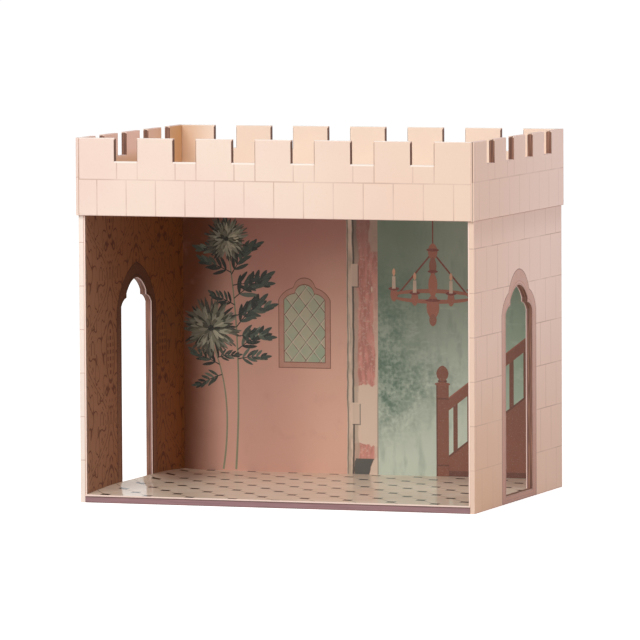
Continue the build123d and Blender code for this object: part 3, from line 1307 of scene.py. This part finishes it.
@dataclass
class BackWall:
    """The printed plaster of the back lining: a pink field, a weathered post and a green field."""

    post_left: float = -19.0 * MM
    board_left: float = -12.8 * MM
    post_right: float = 10.2 * MM
    bare: tuple[float, float, float, float] = (25.0 * MM, 41.0 * MM, 77.0 * MM, 98.0 * MM)
    foot_top: float = 21.0 * MM
    foot_right: float = 6.0 * MM
    foot_slant: float = 0.34
    patch_left: float = 2.8 * MM
    patch_foot: float = 204.5 * MM
    tabs: tuple[tuple[float, float, float, float], ...] = (
        (-11.7 * MM, 183.5 * MM, 6.4 * MM, 20.0 * MM),
        (-11.0 * MM, 60.8 * MM, 7.6 * MM, 19.0 * MM),
    )
    tab_shade: float = 0.9 * MM
    roughness: float = 0.48

    def dress(self) -> None:
        """Gives the lining its plaster."""
        graph = Graph("plaster_paper")
        across = graph.math("ADD", graph.x, graph.drift(55.0, 5.0, 2.2 * MM))
        post = self._post(graph, across)
        colour = graph.mix(self._step(graph, across, self.post_left), self._pink(graph), post)
        colour = graph.mix(self._step(graph, graph.x, self.post_right), colour, self._green(graph))
        front = graph.ease(graph.facing[1], -0.4, -0.7)
        dress("back_lining", graph.paper(graph.mix(front, Ink.CARD_EDGE, colour), self.roughness))

    def _step(self, graph: Graph, value: Value, edge: float) -> Socket:
        """Returns a sharp step from 0 to 1 at an edge."""
        return graph.ease(value, edge - 0.15 * MM, edge + 0.15 * MM)

    def _pink(self, graph: Graph) -> Socket:
        """Returns the pink plaster, clouded, with painted shade that browns it towards its top and its
        left end, and painted light near the post.

        Args:
            graph: The graph to build in.
        """
        drift = graph.drift(11.0, 4.0, 0.16)
        # painted light near the post and painted shade towards the top and left
        glow = graph.times(graph.ease(graph.x, -0.08, -0.03), graph.ease(graph.z, 0.222, 0.175), 0.75)
        deep = graph.ease(graph.math("ADD", graph.z, drift), 0.1, 0.225)
        deep = graph.times(deep, graph.math("SUBTRACT", 1.0, glow))
        deep = graph.math("MAXIMUM", deep, graph.times(graph.ease(graph.x, -0.035, -0.08), 0.36))
        pink = graph.mix(deep, Ink.PINK, Ink.PINK_SHADE_AND_SPOTS)
        # painted shadow in the top and the left corner
        top = graph.times(graph.ease(graph.z, 0.17, 0.245), 0.31)
        wide = graph.times(graph.ease(graph.z, 0.12, 0.25), 0.022)
        bend = graph.math("SUBTRACT", graph.math("ADD", graph.x, graph.times(drift, 0.1)), wide)
        corner = graph.times(graph.ease(bend, -0.13, -0.1765), 0.98)
        pink = graph.mix(graph.math("MAXIMUM", top, corner), pink, Ink.PINK_CORNER_SHADOW)
        spots = graph.times(graph.ease(graph.noise(60.0, 5.0), 0.55, 0.76), 0.24)
        return graph.mix(spots, pink, Ink.PINK_SHADE_AND_SPOTS)

    def _green(self, graph: Graph) -> Socket:
        """Returns the green plaster: painted shade darkens it towards the top, less on the right, and it
        is stained along the post.

        Args:
            graph: The graph to build in.
        """
        drift = graph.drift(16.0, 4.0, 0.14)
        # painted shade towards the top, eased by painted light on the right
        glow = graph.times(graph.ease(graph.x, 0.03, 0.1), graph.ease(graph.z, 0.12, 0.2), 0.42)
        deep = graph.ease(graph.math("ADD", graph.z, drift), 0.02, 0.23)
        deep = graph.times(deep, graph.math("SUBTRACT", 1.0, glow))
        green = graph.mix(deep, Ink.GREEN, Ink.GREEN_SHADE)
        cold = graph.times(graph.ease(graph.x, 0.08, 0.15), 0.7)
        green = graph.mix(cold, green, Ink.GREEN_COLD)
        near_post = graph.ease(graph.math("ADD", graph.x, drift), 0.082, 0.018)
        above = graph.times(graph.ease(graph.z, 0.02, 0.075), graph.ease(graph.z, 0.22, 0.15))
        blot = graph.math("ADD", graph.noise(70.0, 7.0), graph.times(graph.noise(280.0, 5.0), 0.6))
        stain = graph.times(near_post, above, graph.ease(blot, 0.46, 1.04))
        green = graph.mix(stain, green, Ink.GREEN_STAIN)
        streak = graph.noise(1.0, 6.0, graph.stretched((110.0, 60.0, 34.0)))
        green = graph.mix(graph.times(graph.ease(streak, 0.5, 0.72), 0.3), green, Ink.GREEN_STAIN)
        dust = graph.ease(graph.noise(1.0, 6.0, graph.stretched((60.0, 60.0, 170.0))), 0.56, 0.7)
        return graph.mix(graph.times(dust, graph.ease(graph.z, 0.19, 0.13), 0.3), green, Ink.GREEN)

    def _post(self, graph: Graph, across: Socket) -> Socket:
        """Returns the post: a pale jamb, a dark gap and a board with flaking red paint.

        Args:
            graph: The graph to build in.
            across: The wandering coordinate across the wall.
        """
        grain = graph.ease(graph.noise(1.0, 6.0, graph.stretched((300.0, 100.0, 60.0))), 0.36, 0.66)
        flake = graph.noise(1.0, 6.0, graph.stretched((95.0, 60.0, 42.0)))
        ragged = graph.math("ADD", across, graph.times(graph.math("SUBTRACT", flake, 0.5), 9 * MM))
        board = self._worn(graph, self._paint(graph, grain, flake), ragged)
        jamb = graph.mix(grain, Ink.POST_CREAM, Ink.POST_GREY)
        post = graph.mix(self._step(graph, across, self.board_left), jamb, board)
        for edge, width, strength in (
            (self.board_left, 1.8 * MM, 0.9),
            (self.post_left + 1.0 * MM, 1.1 * MM, 0.65),
        ):
            gap = graph.line(graph.apart(across, edge), width)
            post = graph.mix(graph.times(gap, strength), post, Ink.GAP)
        for tab in self.tabs:
            post = self._tab(graph, post, tab)
        seam = graph.line(graph.apart(graph.x, self.post_right), 1.8 * MM)
        return graph.mix(graph.times(seam, graph.ease(graph.z, 0.12, 0.05), 0.6), post, Ink.GAP)

    def _paint(self, graph: Graph, grain: Socket, flake: Socket) -> Socket:
        """Returns the red paint of the board, flecked and cracked, over the wood that it bares low down.

        Args:
            graph: The graph to build in.
            grain: Grain of the wood.
            flake: Noise that the paint flakes by.
        """
        red = graph.mix(grain, Ink.POST_RED, Ink.POST_DARK)
        crack = graph.apart(graph.noise(1.0, 4.0, graph.stretched((150.0, 60.0, 80.0))), 0.5)
        red = graph.mix(graph.times(graph.ease(crack, 0.025, 0.0), 0.3), red, Ink.POST_CREAM)
        fleck = graph.times(graph.ease(graph.noise(380.0, 4.0), 0.56, 0.68), 0.4)
        red = graph.mix(fleck, red, Ink.POST_CREAM)
        # painted shade: the paint darkens towards the top
        top = graph.times(graph.ease(graph.z, 0.17, 0.25), 0.5)
        red = graph.mix(top, red, Ink.POST_DARK.shade(0.8))
        low, full, fading, high = self.bare
        bare = graph.times(graph.ease(graph.z, high, fading), graph.ease(graph.z, low, full), 0.4)
        bare = graph.ease(graph.math("ADD", flake, bare), 0.68, 0.72)
        return graph.mix(bare, red, Ink.POST_CREAM)

    def _worn(self, graph: Graph, board: Socket, ragged: Socket) -> Socket:
        """Returns the painted board with its bared edges, a painted shade over its top, its dark foot and
        pale patch.

        Args:
            graph: The graph to build in.
            board: The painted board.
            ragged: The coordinate across the wall, with ragged edges.
        """
        left = self.board_left
        bared = graph.ease(ragged, left + 5.5 * MM, left + 3.5 * MM)
        board = graph.mix(graph.times(bared, 0.75), board, Ink.POST_GREY)
        # painted shade over the top of the board
        top_shade = graph.math("ADD", 0.36, graph.times(bared, 0.28))
        board = graph.mix(graph.times(graph.ease(graph.z, 0.185, 0.225), top_shade), board, Ink.GAP)
        under = graph.math("SUBTRACT", self.foot_top, graph.z)
        slanted = graph.math("ADD", ragged, graph.times(under, self.foot_slant))
        foot = graph.times(
            graph.ease(graph.z, self.foot_top, self.foot_top - 0.6 * MM),
            graph.ease(slanted, self.foot_right + 0.4 * MM, self.foot_right - 0.4 * MM),
            graph.ease(ragged, left + 1.8 * MM, left + 2.6 * MM),
        )
        board = graph.mix(foot, board, Ink.POST_FOOT)
        edge = graph.times(graph.ease(ragged, 5.5 * MM, 7.5 * MM), graph.ease(graph.z, 0.21, 0.1), 0.8)
        low = graph.ease(graph.z, self.foot_top + 5.0 * MM, self.foot_top - 1.0 * MM)
        beside = graph.ease(slanted, self.foot_right - 0.2 * MM, self.foot_right + 0.6 * MM)
        edge = graph.math("MAXIMUM", edge, graph.times(beside, low))
        board = graph.mix(edge, board, Ink.POST_CREAM)
        aside = graph.ease(ragged, self.patch_left - 0.8 * MM, self.patch_left + 0.8 * MM)
        above = graph.ease(graph.z, self.patch_foot - 1.5 * MM, self.patch_foot + 1.5 * MM)
        return graph.mix(graph.times(aside, above, 0.6), board, Ink.POST_GREY)

    def _tab(self, graph: Graph, colour: Socket, tab: Sequence[float]) -> Socket:
        """Returns the print with one pale hinge plate over it, shaded along its right and lower edge.

        Args:
            graph: The graph to build in.
            colour: The print so far.
            tab: Middle across and up, width and height of the plate.
        """
        for shift, tone, strength in ((self.tab_shade, Ink.GAP, 0.7), (0.0, Ink.POST_CREAM, 0.9)):
            off_x = graph.apart(graph.x, tab[0] + shift)
            off_z = graph.apart(graph.z, tab[1] - shift)
            within = [
                graph.ease(off, size / 2 + 0.3 * MM, size / 2 - 0.3 * MM)
                for off, size in ((off_x, tab[2]), (off_z, tab[3]))
            ]
            colour = graph.mix(graph.times(*within, strength), colour, tone)
        return colour


@dataclass
class LeadedWindow:
    """The painted window: a shouldered frame and diamond panes."""

    middle: float = -58.6 * MM
    frame_band: float = 5.6 * MM
    frame_line: float = 0.7 * MM
    pane_middle: float = -57.4 * MM
    pane_foot: float = 106.8 * MM
    pane_width: float = 13.3 * MM
    pane_height: float = 16.2 * MM
    lead: float = 0.7 * MM
    roughness: float = 0.42
    shape: ArchShape = ArchShape(
        half_width=19.0 * MM,
        foot=105.4 * MM,
        jamb_top=160.5 * MM,
        shoulder_run=10.0 * MM,
        shoulder_rise=5.4 * MM,
        step=0.8 * MM,
        rise=7.2 * MM,
        shoulder_bow=1.3 * MM,
        arch_bow=2.1 * MM,
    )

    def build(self, ink: bpy.types.Material) -> None:
        """Prints the frame and glazes it.

        Args:
            ink: Finish of the frame.
        """
        place = Plane.BACK.matrix() @ Matrix.Translation((self.middle, 0, 0))
        frame_sheet = PrintSheet("window_frame", place)
        for inner, outer, tone, lift in (
            (0.0, self.frame_band, Ink.WINDOW_FRAME.value, 0.05 * MM),
            (self.frame_band - self.frame_line, self.frame_band, Ink.WINDOW_LINE.value, 0.08 * MM),
            (0.0, self.frame_line, Ink.WINDOW_LINE.value, 0.08 * MM),
        ):
            around, within = (self.shape.outline(grow, self.shape.foot - grow) for grow in (outer, inner))
            frame_sheet.ring(around, within, tone, lift)
        frame_sheet.finish("plaster_card", ink)
        glass = PrintSheet("window_glass", place)
        glass.patch(self.shape.outline(0.0), Ink.GLASS.value, 0.04 * MM)
        glass.finish("plaster_card", self._glass())

    def _glass(self) -> bpy.types.Material:
        """Returns the painted panes: clouded glass under slanting leads with a pale edge."""
        graph = Graph("window_panes")
        across = graph.math("DIVIDE", graph.math("SUBTRACT", graph.x, self.pane_middle), self.pane_width)
        up = graph.math("DIVIDE", graph.math("SUBTRACT", graph.z, self.pane_foot), self.pane_height)
        slants = [graph.math(sign, across, up) for sign in ("ADD", "SUBTRACT")]
        width = self.lead / self.pane_width
        pane = graph.tree.nodes.new("ShaderNodeTexWhiteNoise")
        pane.noise_dimensions = "2D"
        cell = graph.point(*(graph.math("FLOOR", slant) for slant in slants), 0.0)
        graph.feed(pane.inputs["Vector"], cell)
        cloud = graph.times(graph.ease(graph.noise(70.0, 4.0), 0.3, 0.7), 0.35)
        cloud = graph.math("ADD", cloud, graph.times(pane.outputs[0], 0.65))
        colour = graph.mix(cloud, Ink.GLASS, Ink.GLASS_GREEN)
        uneven = graph.times(graph.ease(graph.noise(130.0, 2.0), 0.35, 0.6), 0.5)
        uneven = graph.math("ADD", 0.35, uneven)
        for slant in slants:
            pale = graph.line(graph.spacing(slant, 0.07, 1.0), width * 1.3)
            dark = graph.line(graph.spacing(slant, 0.0, 1.0), width * 1.5)
            colour = graph.mix(graph.times(pale, 0.5), colour, Ink.CARD_EDGE)
            colour = graph.mix(graph.times(dark, uneven), colour, Ink.LEAD)
        return graph.paper(colour, self.roughness)


@dataclass
class LeafySpray:
    """The painted spray: two bending stems with round blossoms and feathered leaves, in millimetres."""

    seed: int = 7
    tall_stem: tuple[Point, Point, Point] = ((-124, 8), (-116, 120), (-132, 212))
    short_stem: tuple[Point, Point, Point] = ((-136, 8), (-124, 80), (-150, 128))
    stem_widths: Point = (1.9, 1.7)
    tall_fronds: tuple[tuple[float, float, float], ...] = (
        (0.46, 14, 24),
        (0.5, 40, 30),
        (0.56, 8, 28),
        (0.6, 52, 34),
        (0.65, 24, 32),
        (0.7, 150, 22),
        (0.73, 40, 36),
        (0.79, 12, 30),
        (0.84, 60, 30),
        (0.85, 152, 28),
        (0.92, 32, 28),
        (0.95, 168, 26),
    )
    short_fronds: tuple[tuple[float, float, float], ...] = (
        (0.66, 196, 22),
        (0.74, 150, 26),
        (0.8, 16, 18),
    )
    blossoms: tuple[tuple[Point, float], ...] = (((-132, 214), 21), ((-147, 134), 27))
    rings: tuple[tuple[int, float, float], ...] = (
        (46, 1.0, 0.6),
        (42, 0.9, 0.75),
        (38, 0.78, 0.92),
        (32, 0.65, 1.05),
        (26, 0.5, 1.0),
        (18, 0.34, 0.8),
    )

    def build(self, ink: bpy.types.Material) -> None:
        """Prints the spray on the back wall.

        Args:
            ink: Finish of the print.
        """
        chance = random.Random(self.seed)
        sheet = PrintSheet("leafy_spray", Plane.BACK.matrix())
        stems = [self._stem(*stem) for stem in (self.tall_stem, self.short_stem)]
        for line, width in zip(stems, self.stem_widths):
            sheet.stroke(line, (width * MM, 1.0 * MM), Ink.STEM.value, 0.05 * MM, 24)
        for line, fronds in zip(stems, (self.tall_fronds, self.short_fronds)):
            for share, turn, reach in fronds:
                self._frond(sheet, chance, line(share), turn, reach)
        for middle, reach in self.blossoms:
            self._blossom(sheet, chance, middle, reach)
        sheet.finish("plaster_card", ink)

    def _stem(self, foot: Point, middle: Point, tip: Point) -> Callable[[float], Point]:
        """Returns the line of a stem that bends once.

        Args:
            foot: Where it starts.
            middle: The point that it bends towards.
            tip: Where it ends.
        """
        a, b, c = (Vector(point) * MM for point in (foot, middle, tip))

        def line(share: float) -> Point:
            """A point along the stem."""
            spot = a * (1 - share) ** 2 + b * (2 * share * (1 - share)) + c * share**2
            return (spot.x, spot.y)

        return line

    def _frond(
        self, sheet: PrintSheet, chance: random.Random, root: Point, turn: float, reach: float
    ) -> None:
        """Prints one feathered leaf.

        Args:
            sheet: The sheet to print on.
            chance: Source of small differences.
            root: Where it leaves the stem.
            turn: The way it points, in degrees.
            reach: Its length in millimetres.
        """
        heading = math.radians(turn)
        length = reach * MM
        way = Vector((math.cos(heading), math.sin(heading)))

        def rib(share: float) -> Point:
            """A point along the midrib."""
            spot = Vector(root) + way * (length * share) + Vector((0, -0.16 * length * share**2))
            return (spot.x, spot.y)

        sheet.stroke(rib, (1.0 * MM, 0.5 * MM), Ink.LEAF_DARK.value, 0.07 * MM, 10)
        for index in range(1, 6):
            share = index / 5
            for side in (-1, 1):
                size = (length * 0.44 * (1.2 - 0.5 * share), length * 0.115)
                pale = chance.random()
                tone = Ink.LEAF_PALE if pale < 0.12 else Ink.LEAF if pale < 0.6 else Ink.LEAF_DARK
                angle = turn + side * (48 - 20 * share) + chance.uniform(-10, 10)
                tone = tone.shade(chance.uniform(0.85, 1.2))
                lift = (0.08 + 0.012 * index + 0.006 * side) * MM
                sheet.leaf(rib(share * 0.92), angle, size, tone, lift, 0.4, -0.12 * side)
        sheet.leaf(rib(0.96), turn - 8, (length * 0.42, length * 0.12), Ink.LEAF.value, 0.16 * MM, 0.4)

    def _blossom(self, sheet: PrintSheet, chance: random.Random, middle: Point, reach: float) -> None:
        """Prints one round blossom of broad petals in rings.

        Args:
            sheet: The sheet to print on.
            chance: Source of small differences.
            middle: Its middle, in millimetres.
            reach: Its radius in millimetres.
        """
        spot = Vector(middle) * MM
        inks = (Ink.PETAL, Ink.PETAL, Ink.PETAL_MID, Ink.PETAL_DARK)
        for ring, (count, share, shade) in enumerate(self.rings):
            for index in range(count):
                turn = 360 * index / count + 17 * ring + chance.uniform(-9, 9)
                way = Vector((math.cos(math.radians(turn)), math.sin(math.radians(turn))))
                length = reach * share * MM * chance.uniform(0.86, 1.08)
                root = spot + way * length * 0.25
                tone = chance.choice(inks)
                tone = tone.shade(shade * chance.uniform(0.85, 1.12) * (1 + 0.14 * way.x))
                lift = (0.22 + 0.04 * ring + 0.007 * (index % 5)) * MM
                size = (length * 0.75, reach * 0.1 * MM)
                sheet.leaf((root.x, root.y), turn, size, tone, lift, 0.3, chance.uniform(-0.16, 0.16))
        heart = reach * 0.1 * MM
        sheet.disc((spot.x, spot.y), (heart, heart), Ink.PETAL_DARK.shade(0.6), 0.5 * MM, 12)


@dataclass
class CandleRing:
    """The painted hanging light: a hoop on chains, with candles and a turned shaft."""

    middle: float = 61.6 * MM
    hoop_height: float = 166.0 * MM
    hoop_reach: float = 39.0 * MM
    hoop_drop: float = 6.5 * MM
    hoop_band: Point = (4.2 * MM, 3.6 * MM)
    hoop_sides: int = 40
    boss_height: float = 205.0 * MM
    chain: Point = (1.5 * MM, 1.5 * MM)
    chain_end: float = 0.86
    cord: Point = (1.2 * MM, 1.2 * MM)
    candles: tuple[float, ...] = (-0.97, -0.45, 0.45, 0.97)

    def build(self, ink: bpy.types.Material) -> None:
        """Prints the light on the back wall.

        Args:
            ink: Finish of the print.
        """
        place = Plane.BACK.matrix() @ Matrix.Translation((self.middle, 0, 0))
        sheet = PrintSheet("hanging_light", place)
        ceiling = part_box("back_lining")[1][2] - 0.5 * MM
        boss, dark = (0.0, self.boss_height), Ink.LAMP_DARK.value
        sheet.stroke(self._straight((0.0, ceiling), boss), self.cord, dark)
        for side in (-1, 1):
            foot = (side * self.chain_end * self.hoop_reach, self.hoop_height)
            sheet.stroke(self._straight(boss, foot), self.chain, dark, 0.06 * MM)
        outer = self._ellipse(self.hoop_reach, self.hoop_drop)
        inner = self._ellipse(self.hoop_reach - self.hoop_band[0], self.hoop_drop - self.hoop_band[1])
        sheet.ring(outer, inner, Ink.LAMP.value, 0.08 * MM)
        self._shaft(sheet)
        for share in self.candles:
            self._candle(sheet, share)
        sheet.finish("plaster_card", ink)

    def _straight(self, start: Point, end: Point) -> Callable[[float], Point]:
        """Returns the line from one point to another."""
        return lambda t: (start[0] + (end[0] - start[0]) * t, start[1] + (end[1] - start[1]) * t)

    def _ellipse(self, across: float, up: float) -> list[Point]:
        """Returns the outline of the hoop as it is seen.

        Args:
            across: Its reach across.
            up: Its reach up.
        """
        turns = [2 * math.pi * index / self.hoop_sides for index in range(self.hoop_sides)]
        return [(across * math.cos(a), self.hoop_height + up * math.sin(a)) for a in turns]

    def _shaft(self, sheet: PrintSheet) -> None:
        """Prints the turned shaft from the boss down to the drop.

        Args:
            sheet: The sheet to print on.
        """
        boss, base = self.boss_height, self.hoop_height - self.hoop_drop
        for up, length, width, shade in (
            (boss + 8 * MM, 15 * MM, 9 * MM, 1.0),
            (boss - 4 * MM, 17 * MM, 7 * MM, 0.9),
            (boss - 18 * MM, 22 * MM, 8.5 * MM, 1.05),
            (base + 8 * MM, 22 * MM, 12 * MM, 1.0),
            (base - 9 * MM, 11 * MM, 7 * MM, 0.9),
        ):
            sheet.leaf((0, up), -90, (length, width), Ink.LAMP.shade(shade), 0.1 * MM, 0.25)
        for up, reach in (
            (boss + 2 * MM, 6.0 * MM),
            (boss - 17 * MM, 4.8 * MM),
            (base + 3 * MM, 7.0 * MM),
        ):
            sheet.disc((0, up), (reach, 1.3 * MM), Ink.LAMP_DARK.value, 0.12 * MM)

    def _candle(self, sheet: PrintSheet, share: float) -> None:
        """Prints one candle in its cup.

        Args:
            sheet: The sheet to print on.
            share: Where on the hoop it stands, from -1 to 1.
        """
        x = share * (self.hoop_reach - 1.6 * MM)
        foot = self.hoop_height - self.hoop_drop * math.sqrt(1 - share**2) * 0.8
        low, high = foot + 7.6 * MM, foot + 18.5 * MM
        sheet.leaf((x, foot - 4 * MM), 90, (13 * MM, 6.6 * MM), Ink.LAMP.value, 0.14 * MM, 0.2)
        sheet.disc((x, foot + 7.4 * MM), (5.0 * MM, 1.6 * MM), Ink.LAMP_DARK.value, 0.17 * MM)
        wax = [(x - 1.7 * MM, low), (x + 1.7 * MM, low), (x + 1.5 * MM, high), (x - 1.5 * MM, high)]
        sheet.patch(wax, Ink.CANDLE.value, 0.19 * MM)
        sheet.leaf((x, foot + 18.6 * MM), 90, (7.0 * MM, 2.9 * MM), Ink.FLAME.value, 0.19 * MM, 0.4)


@dataclass
class StairRail:
    """The painted stair: a turned newel, a sloping rail, square balusters and a closed string."""

    newel_left: float = 64.4 * MM
    newel_width: float = 11.6 * MM
    newel_top: float = 88.0 * MM
    newel_shade: float = 1.2 * MM
    groove: float = 1.4 * MM
    rail_foot: float = 65.4 * MM
    rail_depth: float = 11.6 * MM
    rail_light: float = 1.4 * MM
    string_foot: float = 25.6 * MM
    string_line: float = 2.0 * MM
    base: float = 5.0 * MM
    slope: float = 0.76
    baluster: float = 4.0 * MM
    baluster_pitch: float = 13.0 * MM
    baluster_start: float = 0.32
    wall_gap: float = 1.8 * MM

    def build(self, ink: bpy.types.Material) -> None:
        """Prints the stair on the back wall.

        Args:
            ink: Finish of the print.
        """
        sheet = PrintSheet("stair_rail", Plane.BACK.matrix())
        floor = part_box("floor_lining")[1][2] + 0.1 * MM
        start = self.newel_left + self.newel_width
        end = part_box("back_lining")[1][0] - self.wall_gap
        tone, dark = Ink.STAIR.value, Ink.STAIR_DARK.value
        string, rail, top = self.string_foot, self.rail_foot, self.rail_foot + self.rail_depth
        closed = [(start, floor), (end, floor), self._risen(end, string), self._risen(start, string)]
        sheet.patch(closed, tone, 0.05 * MM)
        self._band(sheet, (start, end), (string - self.string_line, string), dark, 0.07 * MM)
        sheet.bar((start, floor), (end, floor + self.base), dark, 0.07 * MM)
        self._band(sheet, (start, end), (rail, top), tone, 0.09 * MM)
        self._band(sheet, (start, end), (top - self.rail_light, top), tone.shade(1.16), 0.11 * MM)
        x = start + self.baluster_pitch * self.baluster_start
        while x + self.baluster < end:
            self._band(sheet, (x, x + self.baluster), (string, rail), tone.shade(0.9), 0.06 * MM)
            x += self.baluster_pitch
        self._newel(sheet, floor)
        sheet.finish("plaster_card", ink)

    def _risen(self, x: float, foot: float) -> Point:
        """Returns a point on a line that rises with the stair, from its height at the newel."""
        return (x, foot + (x - self.newel_left - self.newel_width) * self.slope)

    def _band(self, sheet: PrintSheet, across: Point, feet: Point, tone: Tone, lift: float) -> None:
        """Prints a band that rises with the stair.

        Args:
            sheet: The sheet to print on.
            across: Its left and right end.
            feet: Heights of its lower and upper edge at the newel.
            tone: Colour of the print.
            lift: How far its face stands off the board.
        """
        (left, right), (low, high) = across, feet
        corners = ((left, low), (right, low), (right, high), (left, high))
        sheet.patch([self._risen(*corner) for corner in corners], tone, lift)

    def _newel(self, sheet: PrintSheet, floor: float) -> None:
        """Prints the newel post and its pointed cap.

        Args:
            sheet: The sheet to print on.
            floor: Height that it stands on.
        """
        left, right, top = self.newel_left, self.newel_left + self.newel_width, self.newel_top
        middle = (left + right) / 2
        tone, dark = Ink.STAIR.value, Ink.STAIR_DARK.value
        sheet.bar((left, floor), (right, top), tone, 0.12 * MM)
        sheet.bar((left, floor), (left + self.newel_shade, top), dark, 0.14 * MM)
        for low in (top - 13 * MM, floor + 9 * MM):
            sheet.bar((left, low), (right, low + self.groove), dark, 0.15 * MM)
        sheet.disc((middle, top + 0.6 * MM), (7.2 * MM, 1.7 * MM), tone.shade(1.06), 0.16 * MM)
        sheet.disc((middle, top + 3.2 * MM), (4.4 * MM, 1.6 * MM), dark, 0.15 * MM)
        sheet.leaf((middle, top + 2.6 * MM), 90, (14.5 * MM, 11.4 * MM), tone, 0.17 * MM, 0.35)


@dataclass
class Studio:
    """Camera, lamps, floor and white surroundings."""

    focal_pixels: float = 7000.0
    picture_pixels: float = 640.0
    sensor: float = 36.0
    distance: float = 6.08316
    yaw: float = 0.33856
    pitch: float = 0.0740
    roll: float = -0.00523
    aim_across: float = -2.4572 * MM
    aim_up: float = 152.407 * MM
    floor_reach: float = 40.0
    floor_glow: float = 0.76
    ambient: float = 0.34

    def build(self) -> None:
        """Sets up the whole studio."""
        self._camera()
        self._world()
        self._floor()
        self._lamp(
            "key_light",
            azimuth=-13.0,
            elevation=35.0,
            distance=2.6,
            size=1.7,
            power=44.0,
            colour=(1.0, 0.985, 0.97),
        )
        self._lamp(
            "fill_light",
            azimuth=84.0,
            elevation=18.0,
            distance=2.1,
            size=1.3,
            power=11.6,
            colour=(1.0, 0.97, 0.95),
        )
        bpy.context.scene.view_settings.view_transform = "Standard"

    def _camera(self) -> None:
        """Stands the camera where the picture was taken from."""
        level = Vector((math.cos(self.yaw), math.sin(self.yaw), 0.0))
        flat = math.cos(self.pitch)
        back = Vector((math.sin(self.yaw) * flat, -math.cos(self.yaw) * flat, math.sin(self.pitch)))
        up = back.cross(level)
        right = level * math.cos(self.roll) + up * math.sin(self.roll)
        top = up * math.cos(self.roll) - level * math.sin(self.roll)
        target = level * self.aim_across + Vector((0, 0, self.aim_up))
        data = bpy.data.cameras.new("camera")
        data.sensor_width = self.sensor
        data.lens = self.focal_pixels * self.sensor / self.picture_pixels
        data.clip_start = 0.1
        data.clip_end = 100.0
        camera = bpy.data.objects.new("camera", data)
        turn = Matrix((right, top, back)).transposed().to_4x4()
        camera.matrix_world = Matrix.Translation(target + back * self.distance) @ turn
        bpy.context.scene.collection.objects.link(camera)
        bpy.context.scene.camera = camera

    def _lamp(
        self,
        name: str,
        azimuth: float,
        elevation: float,
        distance: float,
        size: float,
        power: float,
        colour: tuple[float, float, float],
    ) -> None:
        """Hangs one soft box.

        Args:
            name: Name of the lamp.
            azimuth: Its bearing from the front, in degrees, to the right.
            elevation: Its height over the floor, in degrees.
            distance: How far it is from the castle.
            size: Its side.
            power: Its power in watts.
            colour: Colour of its light.
        """
        a, e = math.radians(azimuth), math.radians(elevation)
        way = Vector((math.sin(a) * math.cos(e), -math.cos(a) * math.cos(e), math.sin(e)))
        data = bpy.data.lights.new(name, "AREA")
        data.shape = "SQUARE"
        data.size = size
        data.energy = power
        data.color = colour
        lamp = bpy.data.objects.new(name, data)
        lamp.location = Vector((0, 0, self.aim_up)) + way * distance
        lamp.rotation_mode = "QUATERNION"
        lamp.rotation_quaternion = way.to_track_quat("Z", "Y")
        bpy.context.scene.collection.objects.link(lamp)

    def _seen(self, tree: bpy.types.NodeTree) -> Socket:
        """Returns 1 for rays that show the background: straight, mirrored or through glass."""
        path = tree.nodes.new("ShaderNodeLightPath")
        total = path.outputs["Is Camera Ray"]
        for name in ("Is Glossy Ray", "Is Transmission Ray"):
            node = tree.nodes.new("ShaderNodeMath")
            node.operation = "MAXIMUM"
            tree.links.new(total, node.inputs[0])
            tree.links.new(path.outputs[name], node.inputs[1])
            total = node.outputs[0]
        return total

    def _world(self) -> None:
        """Surrounds the castle with white: plain to the eye, softer as light."""
        world = bpy.data.worlds.new("studio")
        world.use_nodes = True
        bpy.context.scene.world = world
        tree = world.node_tree
        sky = tree.nodes["Background"]
        sky.inputs[0].default_value = (1.0, 1.0, 1.0, 1.0)
        strength = tree.nodes.new("ShaderNodeMapRange")
        tree.links.new(self._seen(tree), strength.inputs[0])
        strength.inputs[3].default_value = self.ambient
        strength.inputs[4].default_value = 1.0
        tree.links.new(strength.outputs[0], sky.inputs[1])

    def _floor(self) -> None:
        """Lays a pale floor that looks white and keeps the shadow."""
        mesh = bmesh.new()
        bmesh.ops.create_circle(mesh, cap_ends=True, segments=64, radius=self.floor_reach)
        data = bpy.data.meshes.new("floor")
        mesh.to_mesh(data)
        mesh.free()
        floor = bpy.data.objects.new("floor", data)
        bpy.context.scene.collection.objects.link(floor)
        material = bpy.data.materials.new("pale_floor")
        material.use_nodes = True
        tree = material.node_tree
        shader = tree.nodes["Principled BSDF"]
        shader.inputs["Base Color"].default_value = (0.8, 0.8, 0.8, 1.0)
        shader.inputs["Roughness"].default_value = 0.9
        shader.inputs["Specular IOR Level"].default_value = 0.0
        shader.inputs["Emission Color"].default_value = (1.0, 1.0, 1.0, 1.0)
        glow = tree.nodes.new("ShaderNodeMath")
        glow.operation = "MULTIPLY"
        tree.links.new(self._seen(tree), glow.inputs[0])
        glow.inputs[1].default_value = self.floor_glow
        tree.links.new(glow.outputs[0], shader.inputs["Emission Strength"])
        data.materials.append(material)
        floor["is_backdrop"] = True


def main() -> None:
    """Dresses the castle and sets up the studio."""
    logging.basicConfig(level=logging.INFO, format="%(name)s: %(message)s")
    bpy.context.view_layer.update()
    wall_ink = printed_ink("wall_ink", roughness=0.5, mottle=0.3)
    Battlements().dress()
    Walls().dress()
    TiledFloor().dress()
    DamaskLinings().dress()
    BackWall().dress()
    Doorways().build(wall_ink)
    LeadedWindow().build(wall_ink)
    LeafySpray().build(wall_ink)
    CandleRing().build(wall_ink)
    StairRail().build(wall_ink)
    Studio().build()


if __name__ == "__main__":
    main()
